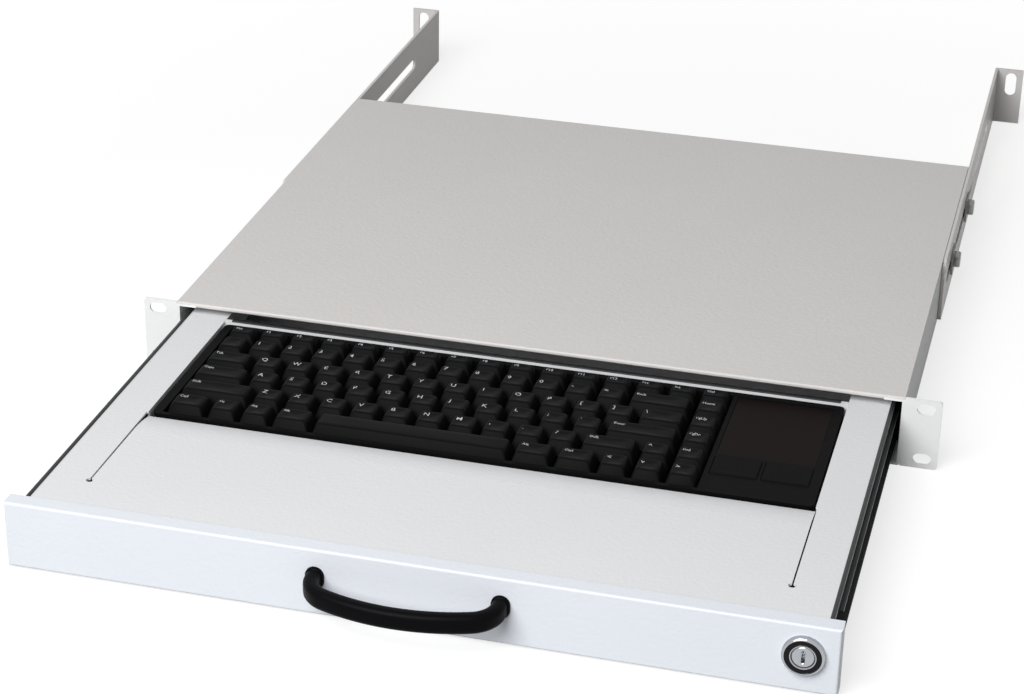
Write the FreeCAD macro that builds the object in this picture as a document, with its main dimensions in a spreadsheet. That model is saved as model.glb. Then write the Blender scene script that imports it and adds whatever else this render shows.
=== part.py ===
import FreeCAD, Part
import math
import os
from types import SimpleNamespace

import Sketcher

# A one-unit rack keyboard shelf, drawn with the drawer pulled out to its stop.
# X runs to the right, Y to the back and Z up. The origin is the middle of the front rack holes,
# on the rear face of the ears, which seats on the rack posts. All sizes are in millimetres.

SIZES = {
    # Key caps and their guides
    "key_pitch": 19.05,
    "row_pitch": 19.05,
    "function_pitch": 15.0,
    "cap_gap": 1.2,
    "cap_height": 8.0,
    "cap_side_draft": 2.7,
    "cap_front_draft": 3.4,
    "cap_back_draft": 1.6,
    "key_travel": 2.5,
    "cap_clearance": 1.0,
    "stem_width": 5.0,
    "guide_clearance": 0.3,
    "press_clearance": 0.3,
    # Keyboard case
    "side_margin": 5.6,
    "front_margin": 3.0,
    "back_margin": 5.0,
    "window_clearance": 0.4,
    "window_depth": 7.5,
    "plate_thickness": 2.0,
    "case_cavity": 3.5,
    "case_corner": 3.0,
    "base_height": 8.5,
    "base_floor": 1.8,
    "base_wall": 5.6,
    "board_thickness": 1.6,
    "board_inset": 1.0,
    "mat_thickness": 1.0,
    "foot_width": 12.0,
    "foot_height": 1.3,
    "foot_inset": 24.0,
    # Touchpad
    "pad_gap": 3.0,
    "pad_zone": 55.0,
    "pad_depth": 70.0,
    "pad_thickness": 1.6,
    "pad_recess": 2.0,
    "pad_clearance": 0.2,
    "button_depth": 20.0,
    "button_gap": 3.0,
    "button_recess": 5.0,
    "button_travel": 0.8,
    "button_proud": 0.6,
    "button_web": 1.6,
    # Drawer pan, deck and the bars under the keyboard
    "tray_sheet": 1.2,
    "pan_rise": 3.0,
    "pan_flange": 10.0,
    "pan_front_inset": 18.0,
    "pan_rear_height": 22.0,
    "bar_height": 8.0,
    "bar_crown": 18.0,
    "bar_brim": 9.0,
    "bar_inset": 16.0,
    "bar_end": 14.0,
    "keyboard_gap": 1.5,
    "strip_width": 20.3,
    "deck_overhang": 4.7,
    "deck_rise": 36.0,
    "deck_skirt": 14.0,
    "deck_tail": 44.5,
    "palm_depth": 120.5,
    "palm_root": 39.0,
    "palm_drop": 0.3,
    "palm_roll": 20.0,
    "palm_roll_radius": 80.0,
    "palm_lip": 8.0,
    "slit_width": 0.9,
    "relief_radius": 2.0,
    "tail_gap": 1.5,
    "bridge_width": 3.0,
    "bridge_lip": 6.0,
    "cable_opening": 27.0,
    "grommet_bore": 4.5,
    "grommet_neck": 6.8,
    "grommet_flange": 9.6,
    "grommet_lip": 1.8,
    "grommet_x": 120.0,
    # Front panel and handle
    "panel_sheet": 1.5,
    "panel_return": 9.5,
    "panel_top_trim": 4.0,
    "panel_bottom_trim": 1.3,
    "panel_edge_radius": 1.2,
    "panel_clearance": 0.5,
    "drawer_travel": 236.0,
    "handle_span": 98.0,
    "handle_rise": 1.6,
    "handle_leg": 4.0,
    "handle_bend": 16.0,
    "handle_bow": 112.0,
    "handle_bar_width": 8.0,
    "handle_bar_height": 11.0,
    "handle_chamfer": 2.2,
    "handle_foot_growth": 2.0,
    "handle_foot_height": 2.5,
    "bore_clearance": 0.15,
    # Key lock
    "lock_inset": 18.0,
    "lock_rise": 1.0,
    "lock_bezel_radius": 11.0,
    "lock_bezel_height": 3.0,
    "lock_barrel_radius": 8.0,
    "lock_barrel_length": 19.0,
    "lock_plug_radius": 5.8,
    "lock_plug_clearance": 0.2,
    "lock_keyway_length": 7.0,
    "lock_keyway_width": 1.6,
    "lock_keyway_depth": 8.0,
    "lock_nut_radius": 11.4,
    "lock_nut_height": 3.0,
    "cam_reach": 18.5,
    "cam_width": 12.0,
    "cam_sheet": 2.0,
    "cam_tang": 5.0,
    "cam_clearance": 0.2,
    "cam_slot_clearance": 1.2,
    # Ball slides
    "slide_depth": 9.7,
    "slide_height": 30.0,
    "slide_drop": 3.0,
    "rail_sheet": 1.2,
    "rail_setback": 34.0,
    "rail_stagger": 2.0,
    "rail_overlap": 70.0,
    "rail_end_gap": 2.0,
    "rail_lip": 4.2,
    "ball_radius": 1.5,
    "ball_clearance": 0.25,
    "ball_pitch": 17.0,
    "cage_sheet": 0.6,
    "cage_gap": 0.3,
    "cage_width": 4.5,
    "cage_end": 5.0,
    # Housing sheets
    "wall": 1.5,
    "cover_sheet": 1.2,
    "hem_gap": 0.3,
    "hem_depth": 8.0,
    "head_room": 1.9,
    "wall_flange": 12.0,
    "bend_radius": 1.1,
    "rear_room": 28.5,
    "rear_fold": 14.0,
    "brace_depth": 25.0,
    "brace_height": 12.0,
    "fit_gap": 0.2,
    # Rack ears
    "ear_width": 21.3,
    "ear_corner": 2.0,
    "rack_hole_offset": 12.55,
    "rack_hole_rise": 31.75,
    "rack_slot_length": 10.5,
    "rack_slot_width": 6.8,
    # Rear brackets
    "bracket_sheet": 2.0,
    "bracket_trim": 0.6,
    "bracket_overlap": 165.0,
    "bracket_reach": 207.5,
    "bracket_slot_width": 9.0,
    "bracket_slot_inset": 22.0,
    "bracket_slot_reach": 141.0,
    "bracket_corner": 6.0,
    "flange_slot_length": 18.0,
    "flange_slot_width": 8.0,
    "flange_slot_rise": 9.5,
    "bolt_radius": 3.0,
    "bolt_inset": 20.0,
    "bolt_spacing": 90.0,
    "bolt_head_radius": 5.8,
    "bolt_head_height": 4.0,
    "washer_width": 16.0,
    "washer_height": 1.4,
}

# Widths of the caps along each row, in key pitches, from left to right.
KEY_ROWS = {
    "function_keys": [1] * 16,
    "number_keys": [1] * 13 + [2, 1],
    "upper_letter_keys": [1.5] + [1] * 12 + [1.5, 1],
    "home_letter_keys": [1.75] + [1] * 11 + [2.25, 1],
    "lower_letter_keys": [2.25] + [1] * 10 + [1.75, 1, 1],
    "modifier_keys": [1.25, 1, 1, 1.25, 6, 1.25, 1.25, 1, 1, 1],
}
KEY_COLUMNS = 16
SPACE_BAR_WIDTH = 6
FULL_ROWS = len(KEY_ROWS) - 1
BALLS_PER_ROW = 4
BALL_SIDES = 8
HEXAGON = 6

doc = FreeCAD.newDocument("rack_keyboard_shelf")
sheet = doc.addObject("Spreadsheet::Sheet", "sizes")
nodes = []


class Size:
    """A length that keeps the sheet's expression for it beside its value."""

    def __init__(self, value, text):
        self.value = value
        self.text = text

    @staticmethod
    def of(other):
        return other if isinstance(other, Size) else Size(float(other), repr(float(other)))

    def __add__(self, other):
        other = Size.of(other)
        return Size(self.value + other.value, f"({self.text} + {other.text})")

    def __sub__(self, other):
        other = Size.of(other)
        return Size(self.value - other.value, f"({self.text} - {other.text})")

    def __rsub__(self, other):
        return Size.of(other) - self

    def __mul__(self, other):
        other = Size.of(other)
        return Size(self.value * other.value, f"({self.text} * {other.text})")

    def __truediv__(self, other):
        other = Size.of(other)
        return Size(self.value / other.value, f"({self.text} / {other.text})")

    def __neg__(self):
        return self * -1

    __radd__ = __add__
    __rmul__ = __mul__


def root(size):
    return Size(math.sqrt(size.value), f"sqrt({size.text})")


def read_sizes():
    """Fill the sheet with the driving dimensions and give them back by name."""
    for row, (name, value) in enumerate(SIZES.items(), start=1):
        sheet.set(f"A{row}", name)
        sheet.set(f"B{row}", str(value))
        sheet.setAlias(f"B{row}", name)
    doc.recompute()
    return SimpleNamespace(**{name: Size(float(sheet.get(name)), f"sizes.{name}") for name in SIZES})


def bind(item, name, size):
    """Tie a property of an object to the sheet."""
    item.setExpression(name, size.text)


def new_body(label):
    body = doc.addObject("PartDesign::Body", label)
    body.Label = label
    return body


def curve(*corners):
    """A closed outline of lines and arcs.

    Each corner comes with the middle of the arc that leaves it and the arc's turn, 1 for
    counter-clockwise and -1 for clockwise, or with None where a line leaves it.
    """
    return ("curve", [((Size.of(u), Size.of(v)), arc) for (u, v), arc in corners])


def polygon(*corners):
    return curve(*[(corner, None) for corner in corners])


def rectangle(u0, v0, u1, v1):
    return polygon((u0, v0), (u1, v0), (u1, v1), (u0, v1))


def circle(u, v, radius):
    return ("circle", [(Size.of(u), Size.of(v)), Size.of(radius)])


def slot(u, v, length, width):
    """A slot with round ends, centred at (u, v) and running along the first axis."""
    radius = width / 2
    reach = length / 2 - radius
    return curve(
        ((u - reach, v - radius), None), ((u + reach, v - radius), (u + reach, v, 1)),
        ((u + reach, v + radius), None), ((u - reach, v + radius), (u - reach, v, 1)),
    )


def upright_slot(u, v, length, width):
    """A slot with round ends, centred at (u, v) and running along the second axis."""
    radius = width / 2
    reach = length / 2 - radius
    return curve(
        ((u + radius, v - reach), None), ((u + radius, v + reach), (u, v + reach, 1)),
        ((u - radius, v + reach), None), ((u - radius, v - reach), (u, v - reach, 1)),
    )


def ring_angles(count):
    return [2 * math.pi * index / count for index in range(count)]


def hexagon(u, v, radius):
    return polygon(*[
        (u + radius * math.cos(angle), v + radius * math.sin(angle)) for angle in ring_angles(HEXAGON)
    ])


def mirrored(sign, corners):
    """A polygon given for the right side, set on the side that the sign names."""
    return polygon(*[(u * sign, v) for u, v in corners])


def pin_point(sketch, geometry, end, u, v):
    """Hold one point of a sketch at a place measured from the sketch's origin."""
    for kind, size in (("DistanceX", u), ("DistanceY", v)):
        index = sketch.addConstraint(Sketcher.Constraint(kind, -1, 1, geometry, end, size.value))
        bind(sketch, f"Constraints[{index}]", size)


def arc_between(start, end, middle, turn):
    """The arc about a middle point. A sketch keeps every arc counter-clockwise, so a clockwise one is reversed."""
    first, last = (start, end) if turn > 0 else (end, start)
    angles = [math.atan2(point.y - middle.y, point.x - middle.x) for point in (first, last)]
    if angles[1] < angles[0]:
        angles[1] += 2 * math.pi
    ring = Part.Circle(middle, FreeCAD.Vector(0, 0, 1), first.distanceToPoint(middle))
    return Part.ArcOfCircle(ring, *angles)


def draw_curve(sketch, corners):
    points = [FreeCAD.Vector(u.value, v.value, 0) for (u, v), _ in corners]
    pieces = []
    for (place, arc), start, end in zip(corners, points, points[1:] + points[:1]):
        if arc is None:
            piece, ends = sketch.addGeometry(Part.LineSegment(start, end), False), (1, 2)
        else:
            u, v, turn = arc
            u, v = Size.of(u), Size.of(v)
            middle = FreeCAD.Vector(u.value, v.value, 0)
            piece = sketch.addGeometry(arc_between(start, end, middle, turn), False)
            ends = (1, 2) if turn > 0 else (2, 1)
        pieces.append((piece, ends))
        pin_point(sketch, piece, ends[0], *place)
        if arc is not None:
            kind, size = ("DistanceX", u) if abs(end.y - start.y) > abs(end.x - start.x) else ("DistanceY", v)
            index = sketch.addConstraint(Sketcher.Constraint(kind, -1, 1, piece, 3, size.value))
            bind(sketch, f"Constraints[{index}]", size)
    for (piece, ends), (following, following_ends) in zip(pieces, pieces[1:] + pieces[:1]):
        sketch.addConstraint(Sketcher.Constraint("Coincident", piece, ends[1], following, following_ends[0]))


def draw_circle(sketch, parts):
    (u, v), radius = parts
    centre = FreeCAD.Vector(u.value, v.value, 0)
    ring = sketch.addGeometry(Part.Circle(centre, FreeCAD.Vector(0, 0, 1), radius.value), False)
    pin_point(sketch, ring, 3, u, v)
    index = sketch.addConstraint(Sketcher.Constraint("Radius", ring, radius.value))
    bind(sketch, f"Constraints[{index}]", radius)


DRAWERS = {"curve": draw_curve, "circle": draw_circle}
# Each axis: the origin plane across it, and which way that plane's normal points along the axis.
PLANES = {"X": ("YZ_Plane", 1), "Y": ("XZ_Plane", -1), "Z": ("XY_Plane", 1)}


def new_sketch(body, axis, start):
    """An empty sketch across an axis, at a place along it."""
    role, way = PLANES[axis]
    plane = [item for item in body.Origin.OriginFeatures if item.Role == role][0]
    sketch = body.newObject("Sketcher::SketchObject", f"{body.Label}_outline")
    sketch.AttachmentSupport = [(plane, "")]
    sketch.MapMode = "FlatFace"
    bind(sketch, "AttachmentOffset.Base.z", Size.of(start) * way)
    return sketch


def draw(body, axis, start, outlines):
    sketch = new_sketch(body, axis, start)
    for kind, parts in outlines:
        DRAWERS[kind](sketch, parts)
    return sketch


def pad(body, axis, start, length, *outlines):
    """Add material from a place along an axis, towards its positive end."""
    feature = body.newObject("PartDesign::Pad", f"{body.Label}_pad")
    feature.Profile = draw(body, axis, start, outlines)
    feature.Reversed = axis == "Y"
    bind(feature, "Length", Size.of(length))
    body.Tip = feature
    return feature


def pocket(body, axis, start, length, *outlines):
    """Cut material away from a place along an axis, towards its positive end."""
    doc.recompute()
    before = body.Shape.Volume
    feature = body.newObject("PartDesign::Pocket", f"{body.Label}_pocket")
    feature.Profile = draw(body, axis, start, outlines)
    feature.Reversed = axis != "Y"
    bind(feature, "Length", Size.of(length))
    body.Tip = feature
    doc.recompute()
    if not body.Shape.Volume < before:
        raise RuntimeError(f"a cut in {body.Label} removes nothing")
    return feature


def lies_at(**places):
    """A test for edges whose ends all lie at the given coordinates."""

    def test(edge):
        points = [vertex.Point for vertex in edge.Vertexes]
        return all(
            abs(getattr(point, axis) - Size.of(size).value) < 1e-4
            for point in points for axis, size in places.items()
        )

    return test


def dress(body, kind, name, size, tests):
    """Treat the edges that pass any of the tests, with a feature whose named property takes the size."""
    doc.recompute()
    base = body.Tip
    names = [
        f"Edge{index}" for index, edge in enumerate(base.Shape.Edges, start=1)
        if any(test(edge) for test in tests)
    ]
    if not names:
        raise RuntimeError(f"no edge to treat on {body.Label}")
    feature = body.newObject(f"PartDesign::{kind}", f"{body.Label}_{kind.lower()}")
    feature.Base = (base, names)
    bind(feature, name, size)
    body.Tip = feature
    return feature


def fillet(body, radius, *tests):
    return dress(body, "Fillet", "Radius", radius, tests)


def chamfer(body, size, *tests):
    return dress(body, "Chamfer", "Size", size, tests)


def finished(item):
    """Put a sub-part on the list of nodes."""
    nodes.append(item)
    return item


def group(label, shapes):
    """A node of several separate solids of one kind."""
    item = doc.addObject("Part::Feature", label)
    item.Label = label
    item.Shape = Part.makeCompound(shapes)
    item.Placement = FreeCAD.Placement()
    return finished(item)


def vector(x, y, z):
    return FreeCAD.Vector(*[Size.of(part).value for part in (x, y, z)])


def ringed_solid(*rings):
    """A flat-faced solid, stacked from rings that all have the same number of corners."""
    outlines = [rings[0][::-1], rings[-1]]
    for lower, upper in zip(rings, rings[1:]):
        for index in range(len(lower)):
            following = (index + 1) % len(lower)
            outlines.append([lower[index], lower[following], upper[following], upper[index]])
    faces = [Part.Face(Part.makePolygon([*outline, outline[0]])) for outline in outlines]
    solid = Part.Solid(Part.Shell(faces))
    if solid.Volume < 0:
        solid.reverse()
    return solid


s = read_sizes()
RIGHT = SimpleNamespace(name="right", sign=1)
LEFT = SimpleNamespace(name="left", sign=-1)
SIDES = (LEFT, RIGHT)
ALONG_X = FreeCAD.Vector(1, 0, 0)

# Widths, from the keys outwards to the rack ears.
key_block = s.key_pitch * KEY_COLUMNS
keyboard_half = (key_block + s.side_margin * 2 + s.pad_gap + s.pad_zone) / 2
opening_half = keyboard_half + s.keyboard_gap
tray_half = opening_half + s.strip_width
deck_half = tray_half + s.deck_overhang
wall_inner = tray_half + s.slide_depth
body_half = wall_inner + s.wall
ear_half = body_half + s.ear_width
panel_half = body_half
rack_hole_x = body_half + s.rack_hole_offset
hem_half = body_half - s.wall_flange - s.fit_gap

# Heights, from the bottom of the housing up through the drawer and the keys to the cover.
hem_height = s.cover_sheet * 2 + s.hem_gap
keyboard_stack = s.base_height + s.case_cavity + s.plate_thickness
key_stack = s.key_travel + s.cap_clearance + s.cap_height
drawer_stack = s.pan_rise + s.tray_sheet + s.bar_height + s.foot_height
housing_height = drawer_stack + keyboard_stack + key_stack + s.head_room + hem_height
top = housing_height / 2
bottom = -top
cover_under = top - s.cover_sheet
pan_under = bottom + s.pan_rise
pan_floor = pan_under + s.tray_sheet
bar_top = pan_floor + s.bar_height
base_under = bar_top + s.foot_height
base_inside = base_under + s.base_floor
board_top = base_inside + s.board_thickness
mat_top = board_top + s.mat_thickness
case_under = base_under + s.base_height
plate_under = case_under + s.case_cavity
plate_top = plate_under + s.plate_thickness
case_top = plate_top + s.window_depth
cap_under = plate_top + s.key_travel + s.cap_clearance
stem_under = mat_top + s.press_clearance + s.key_travel
deck_top = bottom + s.deck_rise
deck_under = deck_top - s.tray_sheet

# Places along the depth, from the front panel of the open drawer to the rear brackets.
housing_front = -s.wall
panel_rear = housing_front - s.panel_clearance - s.drawer_travel
panel_face = panel_rear - s.panel_return
panel_inside = panel_face + s.panel_sheet
opening_front = panel_inside + s.palm_depth
keyboard_front = opening_front + s.keyboard_gap
keyboard_depth = s.function_pitch + s.row_pitch * FULL_ROWS + s.front_margin + s.back_margin
keyboard_rear = keyboard_front + keyboard_depth
drawer_rail_front = panel_inside + s.rail_setback
housing_rail_front = drawer_rail_front + s.drawer_travel - s.rail_stagger
drawer_rail_rear = housing_rail_front + s.rail_overlap
pan_rear = drawer_rail_rear + s.rail_end_gap
housing_rear = pan_rear + s.drawer_travel + s.rear_room
housing_depth = housing_rear - housing_front
housing_rail_rear = housing_rear - s.brace_depth - s.rail_end_gap
keys_left = -keyboard_half + s.side_margin
keys_right = keys_left + key_block
keys_back = keyboard_rear - s.back_margin
keys_front = keyboard_front + s.front_margin
lock_x = panel_half - s.lock_inset
barrel_end = panel_face + s.lock_barrel_length
cam_front = barrel_end + s.cam_clearance
bracket_front = housing_rear - s.bracket_overlap
bracket_rear = housing_rear + s.bracket_reach
bracket_inner = body_half + s.fit_gap
bracket_outer = bracket_inner + s.bracket_sheet
bolt_places = [housing_rear - s.bolt_inset, housing_rear - s.bolt_inset - s.bolt_spacing]


def along_side(side, near, far):
    """The start and the length of a run across one side wall, from near the middle to far from it."""
    return (near if side.sign > 0 else -far), far - near


def make_side_plate(side):
    """A side sheet, folded in at its top and bottom, with the rack ear bent out at its front."""
    body = new_body(f"{side.name}_side_plate")
    flange = body_half - s.wall_flange
    pad(body, "Y", housing_front, housing_depth, mirrored(side.sign, [
        (body_half, bottom), (body_half, cover_under),
        (flange, cover_under), (flange, cover_under - s.wall),
        (wall_inner, cover_under - s.wall), (wall_inner, bottom + s.wall),
        (flange, bottom + s.wall), (flange, bottom),
    ]))
    fillet(body, s.bend_radius, lies_at(x=body_half * side.sign, z=bottom),
           lies_at(x=wall_inner * side.sign, z=bottom + s.wall))
    pad(body, "Y", housing_front, s.wall, mirrored(side.sign, [
        (body_half, bottom + s.bend_radius), (body_half, cover_under), (body_half + s.fit_gap, cover_under),
        (body_half + s.fit_gap, top), (ear_half, top), (ear_half, bottom),
        (body_half + s.fit_gap, bottom), (body_half + s.fit_gap, bottom + s.bend_radius),
    ]))
    fillet(body, s.ear_corner, lies_at(x=ear_half * side.sign, z=top),
           lies_at(x=ear_half * side.sign, z=bottom))
    holes = [
        slot(rack_hole_x * side.sign, s.rack_hole_rise / 2 * way, s.rack_slot_length, s.rack_slot_width)
        for way in (-1, 1)
    ]
    pocket(body, "Y", housing_front, s.wall, *holes)
    start, length = along_side(side, wall_inner, body_half)
    pocket(body, "X", start, length, *[
        circle(place, 0, s.bolt_radius + s.bore_clearance) for place in bolt_places
    ])
    if side is RIGHT:
        cam_middle = cam_front + s.cam_sheet / 2 + s.drawer_travel
        half = s.cam_sheet / 2 + s.cam_slot_clearance
        low = s.lock_rise - s.cam_reach + s.cam_width / 2 - s.cam_slot_clearance
        high = s.lock_rise + s.cam_width / 2 + s.cam_slot_clearance
        pocket(body, "X", start, length, rectangle(cam_middle - half, low, cam_middle + half, high))
    return finished(body)


def make_top_cover():
    """The top sheet, with its front edge hemmed under and its rear edge folded down."""
    body = new_body("top_cover")
    hem_under = top - hem_height
    pad(body, "Z", cover_under, s.cover_sheet, rectangle(-body_half, housing_front, body_half, housing_rear))
    pad(body, "X", -hem_half, hem_half * 2, polygon(
        (housing_front, cover_under), (housing_front, hem_under),
        (housing_front + s.hem_depth, hem_under), (housing_front + s.hem_depth, hem_under + s.cover_sheet),
        (housing_front + s.cover_sheet, hem_under + s.cover_sheet),
        (housing_front + s.cover_sheet, cover_under),
    ))
    pad(body, "X", -hem_half, hem_half * 2, rectangle(
        housing_rear - s.cover_sheet, top - s.rear_fold, housing_rear, cover_under))
    fillet(body, s.bend_radius, lies_at(y=housing_front, z=top), lies_at(y=housing_front, z=hem_under),
           lies_at(y=housing_rear, z=top))
    return finished(body)


def make_rear_brace():
    """A folded bar across the bottom of the housing, behind the closed drawer."""
    body = new_body("rear_brace")
    seat = bottom + s.wall
    half = wall_inner - s.fit_gap
    pad(body, "X", -half, half * 2, polygon(
        (housing_rear - s.brace_depth, seat), (housing_rear, seat),
        (housing_rear, seat + s.brace_height), (housing_rear - s.wall, seat + s.brace_height),
        (housing_rear - s.wall, seat + s.wall), (housing_rear - s.brace_depth, seat + s.wall),
    ))
    fillet(body, s.bend_radius, lies_at(y=housing_rear, z=seat))
    return finished(body)


# The section of a ball slide: distances in from the housing wall, and heights from the slide's middle.
slide_middle = -s.slide_drop
rail_top = s.slide_height / 2
cage_in = s.rail_sheet + s.cage_gap
cage_out = cage_in + s.cage_width
ball_in = cage_in + s.cage_sheet + (s.cage_width - s.cage_sheet) / 2
lip_in = cage_out + s.cage_gap
lip_out = lip_in + s.rail_sheet
ball_high = rail_top - s.rail_sheet - s.ball_clearance - s.ball_radius
drawer_rail_top = ball_high - s.ball_radius - s.ball_clearance
drawer_rail_tip = cage_in + s.cage_sheet + s.cage_gap
cage_length = s.ball_pitch * (BALLS_PER_ROW - 1) + s.cage_end * 2
cage_front = housing_rail_front + (s.rail_overlap - cage_length) / 2
ball_places = [cage_front + s.cage_end + s.ball_pitch * index for index in range(BALLS_PER_ROW)]


def slide_section(side, corners):
    """A slide member's section: corners run in from the housing wall, the lower half mirrors the upper."""
    whole = corners + [(u, -v) for u, v in reversed(corners)]
    return mirrored(side.sign, [(wall_inner - u, slide_middle + v) for u, v in whole])


def make_housing_rail(side):
    """The outer member of a slide: a channel whose lips keep the balls in."""
    body = new_body(f"{side.name}_housing_rail")
    pad(body, "Y", housing_rail_front, housing_rail_rear - housing_rail_front, slide_section(side, [
        (s.rail_sheet, rail_top - s.rail_sheet), (lip_in, rail_top - s.rail_sheet),
        (lip_in, rail_top - s.rail_lip), (lip_out, rail_top - s.rail_lip),
        (lip_out, rail_top), (Size.of(0), rail_top),
    ]))
    fillet(body, s.bend_radius, *[
        lies_at(x=(wall_inner - u) * side.sign, z=slide_middle + rail_top * way)
        for u in (lip_out, 0) for way in (-1, 1)
    ])
    return finished(body)


def make_drawer_rail(side):
    """The inner member of a slide, fixed to the side of the drawer."""
    body = new_body(f"{side.name}_drawer_rail")
    web = s.slide_depth - s.rail_sheet
    pad(body, "Y", drawer_rail_front, drawer_rail_rear - drawer_rail_front, slide_section(side, [
        (web, drawer_rail_top - s.rail_sheet), (drawer_rail_tip, drawer_rail_top - s.rail_sheet),
        (drawer_rail_tip, drawer_rail_top), (s.slide_depth, drawer_rail_top),
    ]))
    fillet(body, s.bend_radius, *[
        lies_at(x=tray_half * side.sign, z=slide_middle + drawer_rail_top * way) for way in (-1, 1)
    ])
    return finished(body)


def make_ball_cage(side):
    """The folded strip that spaces the balls of both tracks of a slide."""
    body = new_body(f"{side.name}_ball_cage")
    half = s.cage_sheet / 2
    pad(body, "Y", cage_front, cage_length, slide_section(side, [
        (cage_in + s.cage_sheet, ball_high - half), (cage_out, ball_high - half),
        (cage_out, ball_high + half), (cage_in, ball_high + half),
    ]))
    reach = s.ball_radius + s.ball_clearance
    middle = (wall_inner - ball_in) * side.sign
    windows = [
        rectangle(middle - reach, place - reach, middle + reach, place + reach) for place in ball_places
    ]
    for way in (-1, 1):
        pocket(body, "Z", slide_middle + ball_high * way - half, s.cage_sheet, *windows)
    return finished(body)


def ball(x, y, z):
    """A steel ball, drawn with flat facets."""
    radius = s.ball_radius
    narrow = radius * math.tan(math.pi / BALL_SIDES)
    return ringed_solid(*[
        [
            vector(x + width * math.cos(angle), y + width * math.sin(angle), z + height)
            for angle in ring_angles(BALL_SIDES)
        ]
        for height, width in ((-radius, narrow), (-narrow, radius), (narrow, radius), (radius, narrow))
    ])


def make_bearing_balls():
    """The steel balls in the tracks of both slides."""
    return group("bearing_balls", [
        ball((wall_inner - ball_in) * side.sign, place, slide_middle + ball_high * way)
        for side in SIDES for place in ball_places for way in (-1, 1)
    ])


def make_rear_bracket(side):
    """A slotted angle that reaches back to the rear posts of the rack."""
    body = new_body(f"{side.name}_rear_bracket")
    low = bottom + s.bracket_trim
    pad(body, "Z", low, top - s.bracket_trim - low, mirrored(side.sign, [
        (bracket_inner, bracket_front), (bracket_outer, bracket_front),
        (bracket_outer, bracket_rear - s.bracket_sheet), (ear_half, bracket_rear - s.bracket_sheet),
        (ear_half, bracket_rear), (bracket_inner, bracket_rear),
    ]))
    fillet(body, s.bend_radius, lies_at(x=bracket_inner * side.sign, y=bracket_rear),
           lies_at(x=bracket_outer * side.sign, y=bracket_rear - s.bracket_sheet))
    fillet(body, s.bracket_corner, *[
        lies_at(y=bracket_front, z=level) for level in (low, top - s.bracket_trim)
    ])
    slot_front = bracket_front + s.bracket_slot_inset
    slot_length = housing_rear + s.bracket_slot_reach - slot_front
    start, length = along_side(side, bracket_inner, bracket_outer)
    pocket(body, "X", start, length,
           slot(slot_front + slot_length / 2, 0, slot_length, s.bracket_slot_width))
    pocket(body, "Y", bracket_rear - s.bracket_sheet, s.bracket_sheet, upright_slot(
        rack_hole_x * side.sign, s.flange_slot_rise, s.flange_slot_length, s.flange_slot_width))
    return finished(body)


def side_pin(side, place, near, far, radius):
    """A round pin across a side wall, at half the housing's height."""
    return Part.makeCylinder(
        radius.value, (far - near).value, vector(near * side.sign, place, 0), ALONG_X * side.sign)


def make_bracket_hardware():
    """The hexagon bolts in the housing walls, and their square washers, that clamp the rear brackets."""
    bolts, washers = [], []
    washer_in = bracket_outer + s.fit_gap
    head_in = washer_in + s.washer_height
    for side in SIDES:
        for place in bolt_places:
            shank = side_pin(side, place, wall_inner, head_in, s.bolt_radius)
            head = ringed_solid(*[
                [
                    vector(level * side.sign, place + s.bolt_head_radius * math.cos(angle),
                           s.bolt_head_radius * math.sin(angle))
                    for angle in ring_angles(HEXAGON)
                ]
                for level in (head_in, head_in + s.bolt_head_height)
            ])
            bolts.append(shank.fuse(head))
            start, thickness = along_side(side, washer_in, head_in)
            half = s.washer_width / 2
            plate = Part.makeBox(thickness.value, s.washer_width.value, s.washer_width.value,
                                 vector(start, place - half, -half))
            washers.append(plate.cut(
                side_pin(side, place, washer_in, head_in, s.bolt_radius + s.bore_clearance)))
    group("bracket_bolts", bolts)
    group("bracket_washers", washers)


def make_drawer_pan():
    """The folded tray: its sides stop short of the panel, where the lock needs the room."""
    body = new_body("drawer_pan")
    side_in = tray_half - s.tray_sheet
    flange = tray_half - s.pan_flange
    upper = [
        (tray_half, pan_under), (tray_half, deck_under), (flange, deck_under),
        (flange, deck_under - s.tray_sheet), (side_in, deck_under - s.tray_sheet), (side_in, pan_floor),
    ]
    pad(body, "Y", drawer_rail_front, pan_rear - drawer_rail_front,
        polygon(*upper, *[(-u, v) for u, v in reversed(upper)]))
    fillet(body, s.bend_radius, *[
        lies_at(x=u * way, z=v)
        for u, v in ((tray_half, pan_under), (side_in, pan_floor)) for way in (-1, 1)
    ])
    front_half = tray_half - s.pan_front_inset
    pad(body, "X", -front_half, front_half * 2, polygon(
        (panel_inside, pan_under), (panel_inside, deck_under), (panel_inside + s.tray_sheet, deck_under),
        (panel_inside + s.tray_sheet, pan_floor), (drawer_rail_front, pan_floor),
        (drawer_rail_front, pan_under),
    ))
    pad(body, "Y", pan_rear - s.tray_sheet, s.tray_sheet,
        rectangle(-side_in, pan_floor, side_in, pan_under + s.pan_rear_height))
    pocket(body, "Y", pan_rear - s.tray_sheet, s.tray_sheet,
           circle(s.grommet_x, grommet_z, s.grommet_neck + s.bore_clearance))
    return finished(body)


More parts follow.
